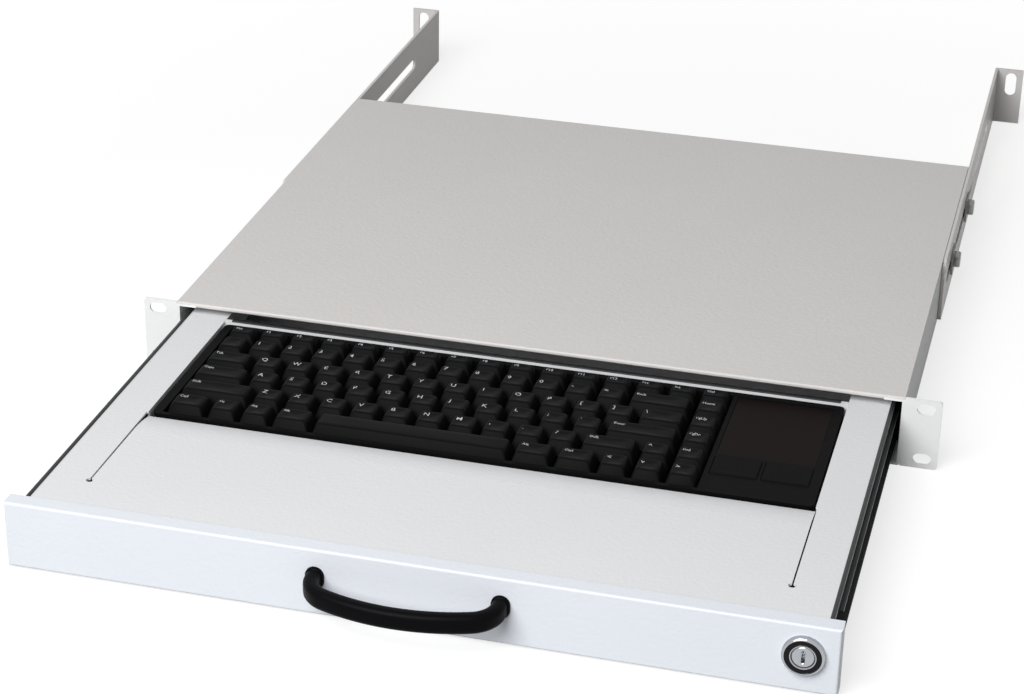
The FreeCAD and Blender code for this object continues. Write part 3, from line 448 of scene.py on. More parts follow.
def box_ring(half_x: float, half_y: float, level: float, count: int) -> Ring:
    """Points round a rectangle about the Z axis, at even angles.

    Args:
        half_x: Half its width, in mm.
        half_y: Half its depth, in mm.
        level: Its height, in mm.
        count: How many points.

    Returns:
        The points, in mm.
    """
    points = []
    for step in range(count):
        angle = math.tau * step / count
        reach = min(half_x / (abs(math.cos(angle)) + TINY), half_y / (abs(math.sin(angle)) + TINY))
        points.append(Vector((reach * math.cos(angle), reach * math.sin(angle), level)))
    return points


def soft_ring(low: Vector, high: Vector, radius: float, level: float, steps: int = 4) -> Ring:
    """Points round a rectangle with round corners, all in mm.

    Args:
        low: Its left front corner.
        high: Its right back corner.
        radius: The corners' radius.
        level: Its height.
        steps: Points on each corner.

    Returns:
        The points, anticlockwise from the right back corner.
    """
    points = []
    for turn, (x, y) in enumerate((
            (high.x - radius, high.y - radius), (low.x + radius, high.y - radius),
            (low.x + radius, low.y + radius), (high.x - radius, low.y + radius))):
        for step in range(steps):
            angle = math.pi / 2 * (turn + step / (steps - 1))
            points.append(Vector((x + radius * math.cos(angle), y + radius * math.sin(angle), level)))
    return points


def taken(work: bmesh.types.BMesh, name: str) -> bpy.types.Mesh:
    """Takes the mesh out of a work mesh.

    Args:
        work: The work mesh, which is freed.
        name: The mesh's name.

    Returns:
        The mesh.
    """
    mesh = bpy.data.meshes.new(name)
    work.to_mesh(mesh)
    work.free()
    return mesh


def loft(name: str, rings: Sequence[Ring], sharp_degrees: float = 40.0,
         endless: bool = False) -> bpy.types.Mesh:
    """Joins rings of equal count to a closed skin.

    Args:
        name: The mesh's name.
        rings: The rings from one end to the other, in mm.
        sharp_degrees: Edges that turn by more than this stay sharp.
        endless: Whether the last ring joins the first, instead of both being capped.

    Returns:
        The mesh, in metres.
    """
    work = bmesh.new()
    rows = [[work.verts.new(point * MM) for point in points] for points in rings]
    count = len(rows[0])
    for near, far in zip(rows, rows[1:] + rows[:int(endless)]):
        for step in range(count):
            after = (step + 1) % count
            work.faces.new((near[step], near[after], far[after], far[step]))
    if not endless:
        work.faces.new(reversed(rows[0]))
        work.faces.new(rows[-1])
    bmesh.ops.recalc_face_normals(work, faces=work.faces)
    mesh = taken(work, name)
    mesh.shade_smooth()
    mesh.set_sharp_from_angle(angle=math.radians(sharp_degrees))
    return mesh


def facing_front(x: float, z: float) -> Matrix:
    """Turns a piece modelled about Z, in metres, to face the front at a place given in mm."""
    return Matrix.Translation((x * MM, 0.0, z * MM)) @ Matrix.Rotation(math.pi / 2, 4, "X")


def new_tree(name: str, **inputs: str) -> tuple[Tree, bpy.types.Node]:
    """Starts a geometry tree.

    Args:
        name: The tree's name.
        inputs: The inputs after the geometry, each with its socket type.

    Returns:
        The tree and its input node.
    """
    tree = bpy.data.node_groups.new(name, "GeometryNodeTree")
    tree.interface.new_socket("Geometry", in_out="INPUT", socket_type="NodeSocketGeometry")
    for label, kind in inputs.items():
        tree.interface.new_socket(label, in_out="INPUT", socket_type=kind)
    tree.interface.new_socket("Geometry", in_out="OUTPUT", socket_type="NodeSocketGeometry")
    return tree, tree.nodes.new("NodeGroupInput")


def close_tree(tree: Tree, geometry: Socket, finish: Socket) -> None:
    """Ends a geometry tree in Realize Instances and Set Material.

    Args:
        tree: The tree.
        geometry: What it has made.
        finish: The material's socket.
    """
    whole = add_node(tree, "GeometryNodeRealizeInstances", {"Geometry": geometry}).outputs[0]
    dressed = add_node(tree, "GeometryNodeSetMaterial", {"Geometry": whole, "Material": finish}).outputs[0]
    add_node(tree, "NodeGroupOutput", {0: dressed})


def grown(name: str, base: bpy.types.Mesh, tree: Tree, **values: object) -> bpy.types.Object:
    """Grows a piece from a base mesh with a geometry tree.

    Args:
        name: The piece's name.
        base: The mesh that the tree starts from.
        tree: The tree.
        values: The tree's inputs by name.

    Returns:
        The piece, as a plain mesh.
    """
    holder = new_piece(f"{name}_base", base)
    modifier = holder.modifiers.new("shape", "NODES")
    modifier.node_group = tree
    for item in tree.interface.items_tree:
        if item.in_out == "INPUT" and item.name in values:
            modifier[item.identifier] = values[item.name]
    graph = bpy.context.evaluated_depsgraph_get()
    mesh = bpy.data.meshes.new_from_object(
        holder.evaluated_get(graph), preserve_all_data_layers=True, depsgraph=graph)
    mesh.name = name
    bpy.data.objects.remove(holder)
    return new_piece(name, mesh)


def with_points(name: str, points: Sequence[Vector], edges: Sequence[tuple[int, int]] = ()) -> bpy.types.Mesh:
    """A mesh of bare points and the edges between them.

    Args:
        name: The mesh's name.
        points: The points, in mm.
        edges: The edges, as pairs of numbers of points.

    Returns:
        The mesh, in metres.
    """
    mesh = bpy.data.meshes.new(name)
    mesh.from_pydata([point * MM for point in points], list(edges), [])
    return mesh


def mark(mesh: bpy.types.Mesh, name: str, values: Sequence[float]) -> None:
    """Stores a number for each point of a mesh."""
    mesh.attributes.new(name, "FLOAT", "POINT").data.foreach_set("value", list(values))


def fastener_tree() -> Tree:
    """The tree that sets one blank on each point and aims it along the point's aim.

    Returns:
        The tree, with the blank and the finish as inputs.
    """
    made = bpy.data.node_groups.get("set_fasteners")
    if made is not None:
        return made
    tree, given = new_tree("set_fasteners", Blank="NodeSocketObject", Finish="NodeSocketMaterial")
    blank = add_node(tree, "GeometryNodeObjectInfo", {"Object": given.outputs["Blank"]}).outputs["Geometry"]
    aim = add_node(
        tree, "GeometryNodeInputNamedAttribute", {"Name": "aim"}, data_type="FLOAT_VECTOR").outputs[0]
    turn = add_node(tree, "FunctionNodeAlignRotationToVector", {"Vector": aim}, axis="Z").outputs[0]
    placed = add_node(tree, "GeometryNodeInstanceOnPoints", {
        "Points": given.outputs["Geometry"], "Instance": blank, "Rotation": turn,
    }).outputs[0]
    close_tree(tree, placed, given.outputs["Finish"])
    return tree


def set_fasteners(name: str, blank: bpy.types.Mesh, places: Sequence[tuple[Vector, Vector]],
                  finish: Finish) -> bpy.types.Object:
    """Sets copies of a blank.

    Args:
        name: The piece's name.
        blank: One fastener, standing on the origin along Z, in metres.
        places: Where each stands, in mm, and the way its head faces.
        finish: Its finish.

    Returns:
        All the copies as one piece.
    """
    base = with_points(name, [place for place, _ in places])
    base.attributes.new("aim", "FLOAT_VECTOR", "POINT").data.foreach_set(
        "vector", [number for _, aim in places for number in aim])
    pattern = new_piece(f"{name}_blank", blank)
    piece = grown(name, base, fastener_tree(), Blank=pattern, Finish=finish.material())
    bpy.data.objects.remove(pattern)
    return piece


def pan_head(radius: float, height: float, facets: int = 32) -> bpy.types.Mesh:
    """A pan head screw's head with a cross recess.

    Args:
        radius: The head's radius, in mm.
        height: Its height, in mm.
        facets: How many facets go round it.

    Returns:
        The head, standing on the origin along Z, in metres.
    """
    dome = ((0.96, 0.0), (1.0, 0.12), (1.0, 0.5), (0.92, 0.8), (0.78, 0.95), (0.66, 1.0))
    recess = ((0.55, 1.0), (0.45, 0.3))
    return loft("pan_head", [
        ring(outline, radius * share, height * level, facets)
        for outline, profile in ((Outline.ROUND, dome), (Outline.CROSS, recess)) for share, level in profile
    ])


@dataclass
class Housing:
    """The fixed sheet-metal case with its rack ears, and the flush rivets of the outer slide members."""

    half_width: float = 220.0
    rivet_level: float = -3.0
    rivet_radius: float = 2.8
    rivet_rise: float = 0.1
    rivet_facets: int = 20
    rivet_places: tuple[float, ...] = (34.0, 118.0, 202.0, 302.0)

    def build(self) -> None:
        """Paints the sheets and sets the rivets."""
        coat(HOUSING_PAINT, "top_cover", "rear_brace")
        coat(SIDE_PAINT, "left_side_plate", "right_side_plate")
        settle(self.rivets(), "housing", "zinc_steel")

    def rivets(self) -> bpy.types.Object:
        """The flush rivets in both side plates, each with a ring groove and a drawn centre.

        Returns:
            All the rivets as one piece.
        """
        radius, rise = self.rivet_radius, self.rivet_rise
        profile = ((1.0, -4.0), (1.0, 0.4), (0.94, 1.0), (0.5, 1.0), (0.46, -4.0), (0.2, -5.0))
        blank = loft("rivet", [
            ring(Outline.ROUND, radius * share, rise * level, self.rivet_facets) for share, level in profile
        ])
        places = [
            (Vector((side.value * self.half_width, place, self.rivet_level)), Vector((side.value, 0.0, 0.0)))
            for side in Side for place in self.rivet_places
        ]
        return set_fasteners("slide_rivets", blank, places, ZINC_STEEL)


@dataclass
class RearBrackets:
    """The slotted brackets that reach to the rear rack posts, and the bolts that clamp them."""

    shank_start: float = 218.5
    head_start: float = 223.6
    head_height: float = 4.0
    head_radius: float = 5.8
    shank_radius: float = 3.0
    bolt_places: tuple[float, ...] = (248.5, 338.5)

    def build(self) -> None:
        """Paints the brackets and sets the clamp bolts."""
        coat(HOUSING_PAINT, "left_rear_bracket", "right_rear_bracket")
        coat(ZINC_STEEL, "bracket_washers")
        settle(self.bolts(), "housing", "zinc_steel", "bracket_bolts")

    def bolts(self) -> bpy.types.Object:
        """Hexagon bolts with chamfered heads.

        Returns:
            All the bolts as one piece.
        """
        seat = self.head_start - self.shank_start
        top = seat + self.head_height
        shank, head = self.shank_radius, self.head_radius
        sections = (
            (Outline.ROUND, shank * 0.9, 0.0), (Outline.ROUND, shank, 0.4), (Outline.ROUND, shank, seat),
            (Outline.HEXAGON, head * 0.98, seat), (Outline.HEXAGON, head, seat + 0.3),
            (Outline.HEXAGON, head, top - 0.8), (Outline.ROUND, head * 0.84, top),
            (Outline.ROUND, head * 0.6, top - 0.15),
        )
        blank = loft("hexagon_bolt", [ring(*section) for section in sections], sharp_degrees=25.0)
        places = [
            (Vector((side.value * self.shank_start, place, 0.0)), Vector((side.value, 0.0, 0.0)))
            for side in Side for place in self.bolt_places
        ]
        return set_fasteners("clamp_bolts", blank, places, ZINC_STEEL)


@dataclass
class BallSlides:
    """The two telescopic slides: members, cages, balls, and the screws that hold the inner members."""

    ball_radius: float = 1.5
    ball_rows: int = 4
    ball_steps: int = 12
    ball_facets: int = 20
    pole_radius: float = 0.02
    screw_start: float = 210.0
    screw_level: float = -3.0
    screw_radius: float = 3.3
    screw_height: float = 1.7
    screw_places: tuple[float, ...] = (-198.0, -128.0, -58.0, 12.0, 78.0)

    def build(self) -> None:
        """Finishes the members and cages, and sets the balls and the screws."""
        coat(SLIDE_STEEL, "left_housing_rail", "right_housing_rail", "left_drawer_rail", "right_drawer_rail")
        coat(ZINC_STEEL, "left_ball_cage", "right_ball_cage")
        settle(self.balls(), "ball_cages", "ball_steel", "bearing_balls")
        settle(self.screws(), "drawer", "slide_steel")

    def balls(self) -> bpy.types.Object:
        """Smooth balls where the bearing_balls node has them.

        Returns:
            All the balls as one piece.
        """
        low, high = (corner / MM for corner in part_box("bearing_balls"))
        radius = self.ball_radius
        rings = []
        for step in range(self.ball_steps + 1):
            angle = math.pi * step / self.ball_steps
            reach = max(radius * math.sin(angle), self.pole_radius)
            rings.append(ring(Outline.ROUND, reach, -radius * math.cos(angle), self.ball_facets))
        rows = [low.y + radius + (high.y - low.y - 2 * radius) * step / (self.ball_rows - 1)
                for step in range(self.ball_rows)]
        places = [
            (Vector((x, y, z)), Vector((0.0, 0.0, 1.0)))
            for x in (low.x + radius, high.x - radius)
            for y in rows
            for z in (low.z + radius, high.z - radius)
        ]
        return set_fasteners("slide_balls", loft("ball", rings, sharp_degrees=180.0), places, BALL_STEEL)

    def screws(self) -> bpy.types.Object:
        """Pan head screws along the channel of each inner member.

        Returns:
            All the screws as one piece.
        """
        places = [
            (Vector((side.value * self.screw_start, place, self.screw_level)), Vector((side.value, 0.0, 0.0)))
            for side in Side for place in self.screw_places
        ]
        blank = pan_head(self.screw_radius, self.screw_height)
        return set_fasteners("slide_screws", blank, places, SLIDE_STEEL)


@dataclass
class Drawer:
    """The sliding tray: deck, front panel, cable bushing, handle screws, and the edging of the deck.

    The edging is a vinyl channel pushed over the side edges and over the bridge behind the keyboard.
    """

    panel_inside: float = -246.0
    screw_half_span: float = 49.0
    screw_level: float = 1.6
    screw_radius: float = 3.8
    screw_height: float = 2.2
    deck_half: float = 213.5
    deck_rear: float = 40.25
    deck_top: float = 14.2
    deck_sheet: float = 1.2
    bridge_half: float = 184.0
    bridge_rear: float = -1.25
    bridge_cover: float = 3.0
    bridge_grip: float = 1.75
    edge_cover: float = 1.6
    channel_wall: float = 0.7
    slack: float = 0.05

    def build(self) -> None:
        """Paints the sheets, dresses the bushing, and sets the handle's screws and the edging."""
        coat(DRAWER_PAINT, "drawer_pan", "drawer_deck", "front_support_bar", "rear_support_bar")
        coat(PANEL_PAINT, "front_panel")
        coat(BLACK_RUBBER, "cable_grommet")
        settle(self.screws(), "drawer", "zinc_steel")
        settle(self.edging(), "drawer", "black_rubber")

    def screws(self) -> bpy.types.Object:
        """The pan head screws that hold the handle, inside the panel.

        Returns:
            Both screws as one piece.
        """
        places = [
            (Vector((side.value * self.screw_half_span, self.panel_inside, self.screw_level)),
             Vector((0.0, 1.0, 0.0)))
            for side in Side
        ]
        blank = pan_head(self.screw_radius, self.screw_height)
        return set_fasteners("handle_screws", blank, places, ZINC_STEEL)

    def channel(self, cover: float, grip: float) -> list[tuple[float, float]]:
        """The section of the edging.

        Args:
            cover: How far it reaches over the sheet from the sheet's edge, in mm.
            grip: How far it reaches under the sheet.

        Returns:
            Points as the distance beyond the sheet's edge and the height.
        """
        wall, inner = self.channel_wall, self.slack
        outer = inner + wall
        top, under = self.deck_top + self.slack, self.deck_top - self.deck_sheet - self.slack
        return [
            (-cover, top), (-cover, top + wall * 0.6), (0.3 - cover, top + wall), (outer - 0.7, top + wall),
            (outer - 0.2, top + wall * 0.7), (outer, top), (outer, under), (outer - 0.2, under - wall * 0.7),
            (outer - 0.7, under - wall), (-grip, under - wall), (-grip, under), (inner, under), (inner, top),
        ]

    def edging(self) -> bpy.types.Object:
        """The channels along both side edges and along the bridge.

        Returns:
            The channels as one piece.
        """
        runs = [[[Vector((x, self.bridge_rear + out, level))
                  for out, level in self.channel(self.bridge_cover, self.bridge_grip)]
                 for x in (-self.bridge_half, self.bridge_half)]]
        for side in Side:
            runs.append([[Vector((side.value * (self.deck_half + out), y, level))
                          for out, level in self.channel(self.edge_cover, self.edge_cover)]
                         for y in (self.panel_inside, self.deck_rear)])
        work = bmesh.new()
        for ends in runs:
            work.from_mesh(loft("channel", ends, sharp_degrees=50.0))
        mesh = taken(work, "deck_edging")
        mesh.materials.append(TRIM_VINYL.material())
        return new_piece("deck_edging", mesh)


@dataclass
class PullHandle:
    """The moulded bow handle: a round-edged bar swept along two legs, two bends and a bow, on two feet."""

    panel_face: float = -247.5
    level: float = 1.6
    half_span: float = 49.0
    leg: float = 4.0
    bend: float = 16.0
    bow: float = 112.0
    bend_steps: int = 14
    bow_steps: int = 28
    bar_width: float = 8.0
    bar_height: float = 11.0
    edge: float = 3.4
    edge_steps: int = 6
    foot_growth: float = 1.0
    foot_height: float = 2.5
    foot_flat: float = 0.01
    foot_steps: int = 8

    def build(self) -> None:
        """Sweeps the bar, adds the feet and fixes the handle to the drawer."""
        bar = grown(
            "pull_handle_bar", self.path(), self.sweep_tree(), Width=self.bar_width * MM,
            Height=self.bar_height * MM, Edge=self.edge * MM, Finish=HANDLE_NYLON.material())
        work = bmesh.new()
        work.from_mesh(bar.data)
        for side in Side:
            foot = self.foot()
            foot.transform(facing_front(side.value * self.half_span, self.level))
            foot.transform(Matrix.Translation((0.0, self.panel_face * MM, 0.0)))
            work.from_mesh(foot)
        work.to_mesh(bar.data)
        work.free()
        settle(bar, "drawer", "handle_plastic", "pull_handle")

    def path(self) -> bpy.types.Mesh:
        """The middle line of the bar, from the left foot to the right one.

        Returns:
            The line as a mesh of points and edges.
        """
        leg_end = self.panel_face - self.leg
        bend_x = self.half_span - self.bend
        lean = math.acos(bend_x / (self.bow - self.bend))
        bow_y = leg_end + (self.bow - self.bend) * math.sin(lean)
        points = [Vector((-self.half_span, self.panel_face, self.level))]
        for x, y, radius, start, end, steps in (
                (-bend_x, leg_end, self.bend, math.pi, math.pi + lean, self.bend_steps),
                (0.0, bow_y, self.bow, math.pi + lean, math.tau - lean, self.bow_steps),
                (bend_x, leg_end, self.bend, math.tau - lean, math.tau, self.bend_steps)):
            # The bends have the points where they meet the bow.
            skip = int(radius == self.bow)
            for step in range(skip, steps + 1 - skip):
                angle = start + (end - start) * step / steps
                points.append(Vector((
                    x + radius * math.cos(angle), y + radius * math.sin(angle), self.level)))
        points.append(Vector((self.half_span, self.panel_face, self.level)))
        return with_points("handle_path", points, [(step, step + 1) for step in range(len(points) - 1)])

    def sweep_tree(self) -> Tree:
        """The tree that sweeps a round-edged bar along a level path.

        Returns:
            The tree, with the bar's section and finish as inputs.
        """
        tree, given = new_tree(
            "sweep_bar", Width="NodeSocketFloat", Height="NodeSocketFloat", Edge="NodeSocketFloat",
            Finish="NodeSocketMaterial")
        path = add_node(tree, "GeometryNodeMeshToCurve", {"Mesh": given.outputs["Geometry"]}).outputs[0]
        level = add_node(tree, "GeometryNodeSetCurveNormal", {"Curve": path}, mode="Z_UP").outputs[0]
        section = add_node(tree, "GeometryNodeCurvePrimitiveQuadrilateral", {
            "Width": given.outputs["Width"], "Height": given.outputs["Height"],
        }).outputs[0]
        rounded = add_node(tree, "GeometryNodeFilletCurve", {
            "Curve": section, "Radius": given.outputs["Edge"], "Count": self.edge_steps,
        }, mode="POLY").outputs[0]
        bar = add_node(tree, "GeometryNodeCurveToMesh", {
            "Curve": level, "Profile Curve": rounded, "Fill Caps": True,
        }).outputs[0]
        smooth = add_node(tree, "GeometryNodeSetShadeSmooth", {"Geometry": bar}).outputs[0]
        close_tree(tree, smooth, given.outputs["Finish"])
        return tree

    def foot(self) -> bpy.types.Mesh:
        """One rounded foot pad.

        Returns:
            The pad, standing on the origin along Z, in metres.
        """
        half = Vector((self.bar_width / 2 + self.foot_growth, self.bar_height / 2 + self.foot_growth))
        rings = []
        for inset, level in ((0.0, 0.0), (0.0, 1.4), (0.25, 2.0), (0.8, 2.4), (1.6, self.foot_height)):
            corner = half - Vector((inset, inset))
            rings.append(soft_ring(-corner, corner, corner.x - self.foot_flat, level, self.foot_steps))
        return loft("handle_foot", rings)


@dataclass
class KeyLock:
    """The cam lock at the right end of the panel: chromed bezel and threaded barrel, nut, plug and cam."""

    x: float = 202.0
    level: float = 1.0
    bezel_face: float = 250.5
    panel_face: float = 247.5
    thread_start: float = 245.8
    barrel_end: float = 228.5
    tang_end: float = 226.2
    thread_pitch: float = 1.4
    bore: float = 6.0
    plug_radius: float = 5.8
    keyway_half: Vector = field(default_factory=lambda: Vector((0.8, 3.5)))
    keyway_floor: float = 242.5
    groove: tuple[float, float] = (6.9, 9.3)
    groove_depth: float = 0.5
    bezel_radius: float = 11.0
    thread_radius: float = 8.0
    thread_root: float = 7.3
    tang_half: float = 2.4
    bezel_facets: int = 56
    plug_facets: int = 48

    def build(self) -> None:
        """Makes the bezel and the plug, and plates the nut and the cam."""
        coat(LOCK_CHROME, "lock_nut")
        coat(ZINC_STEEL, "lock_cam")
        settle(self.bezel(), "drawer", "lock_chrome", "lock_barrel")
        settle(self.plug(), "lock_core", "lock_chrome", "lock_plug")

    def placed(self, name: str, mesh: bpy.types.Mesh, *finishes: Finish) -> bpy.types.Object:
        """Turns a mesh modelled along Z to the lock's axis, and gives it its finishes.

        Args:
            name: The piece's name.
            mesh: The mesh, in metres.
            finishes: The finishes, in the order of the faces' material numbers.

        Returns:
            The piece.
        """
        mesh.transform(facing_front(self.x, self.level))
        for finish in finishes:
            mesh.materials.append(finish.material())
        return new_piece(name, mesh)

    def bezel(self) -> bpy.types.Object:
        """The bezel, with a black groove that paints in the chrome's dark reflections, and the barrel with
        its thread.

        Returns:
            The piece, with a chrome material and a black one for the painted reflection.
        """
        face, back, (inner, outer) = self.bezel_face, self.panel_face, self.groove
        floor, rim = face - self.groove_depth, self.bezel_radius
        crest, root = self.thread_radius, self.thread_root
        profile = [
            (self.bore, self.barrel_end), (self.bore, face - 0.5), (self.bore + 0.2, face - 0.1),
            (self.bore + 0.4, face), (inner - 0.2, face), (inner, floor), (outer, floor), (outer + 0.2, face),
            (rim - 1.0, face), (rim - 0.5, face - 0.35), (rim - 0.1, face - 1.0), (rim, face - 1.8),
            (rim, back), (crest, back),
        ]
        depth = self.thread_start
        while depth - self.thread_pitch > self.barrel_end:
            profile += [(crest, depth), (root, depth - self.thread_pitch / 2)]
            depth -= self.thread_pitch
        profile += [(crest - 0.4, depth), (root - 0.1, self.barrel_end)]
        rings = [ring(Outline.ROUND, radius, level, self.bezel_facets) for radius, level in profile]
        mesh = loft("lock_bezel", rings, sharp_degrees=35.0, endless=True)
        # The faces in the groove get the black of the painted reflection, the rest stay chrome.
        for side in mesh.polygons:
            reach = side.center.xy.length / MM
            side.material_index = int(inner < reach < outer and side.center.z / MM > back)
        return self.placed("lock_bezel", mesh, LOCK_CHROME, LOCK_PAINTED_REFLECTION)

    def plug(self) -> bpy.types.Object:
        """The turning plug with its keyway, and the square tang behind.

        Returns:
            The piece.
        """
        face, count, half, tang = self.bezel_face - 0.3, self.plug_facets, self.keyway_half, self.tang_half
        rings = [
            box_ring(half.x, half.y, self.keyway_floor, count), box_ring(half.x, half.y, face - 0.3, count),
            box_ring(half.x + 0.3, half.y + 0.3, face, count),
            ring(Outline.ROUND, self.plug_radius - 0.4, face, count),
            ring(Outline.ROUND, self.plug_radius, face - 0.4, count),
            ring(Outline.ROUND, self.plug_radius, self.barrel_end, count),
            box_ring(tang, tang, self.barrel_end, count), box_ring(tang, tang, self.tang_end, count),
        ]
        return self.placed("lock_plug_face", loft("lock_plug_face", rings, sharp_degrees=30.0), LOCK_CHROME)


@dataclass(frozen=True)
class KeyRow:
    """One row of keys: its body, the node it stands for, its widths in pitches, and its legends."""

    body: str
    node: str
    widths: tuple[float, ...]
    legends: tuple[str, ...]


KEY_ROWS = (
    KeyRow("function_row", "function_keys", (1.0,) * 16,
           ("Esc", *(f"F{number}" for number in range(1, 13)), "Prt", "Ins", "Del")),
    KeyRow("number_row", "number_keys", (1.0,) * 13 + (2.0, 1.0),
           ("`", *"1234567890", "-", "=", "Back", "Home")),
    KeyRow("upper_letter_row", "upper_letter_keys", (1.5,) + (1.0,) * 12 + (1.5, 1.0),
           ("Tab", *"QWERTYUIOP", "[", "]", "\\", "PgUp")),
    KeyRow("home_letter_row", "home_letter_keys", (1.75,) + (1.0,) * 11 + (2.25, 1.0),
           ("Caps", *"ASDFGHJKL", ";", "'", "Enter", "PgDn")),
    KeyRow("lower_letter_row", "lower_letter_keys", (2.25,) + (1.0,) * 10 + (1.75, 1.0, 1.0),
           ("Shift", *"ZXCVBNM", ",", ".", "/", "Shift", "^", "End")),
    KeyRow("modifier_row", "modifier_keys", (1.25, 1.0, 1.0, 1.25, 6.0, 1.25, 1.25, 1.0, 1.0, 1.0),
           ("Ctrl", "Fn", "Alt", "Alt", "", "Alt", "Ctrl", "<", "v", ">")),
)


@dataclass(frozen=True)
class KeyCap:
    """One cap in its place: the middle of its cell, half its width at the foot, and its legend, in mm."""

    middle: Vector
    half_width: float
    legend: str


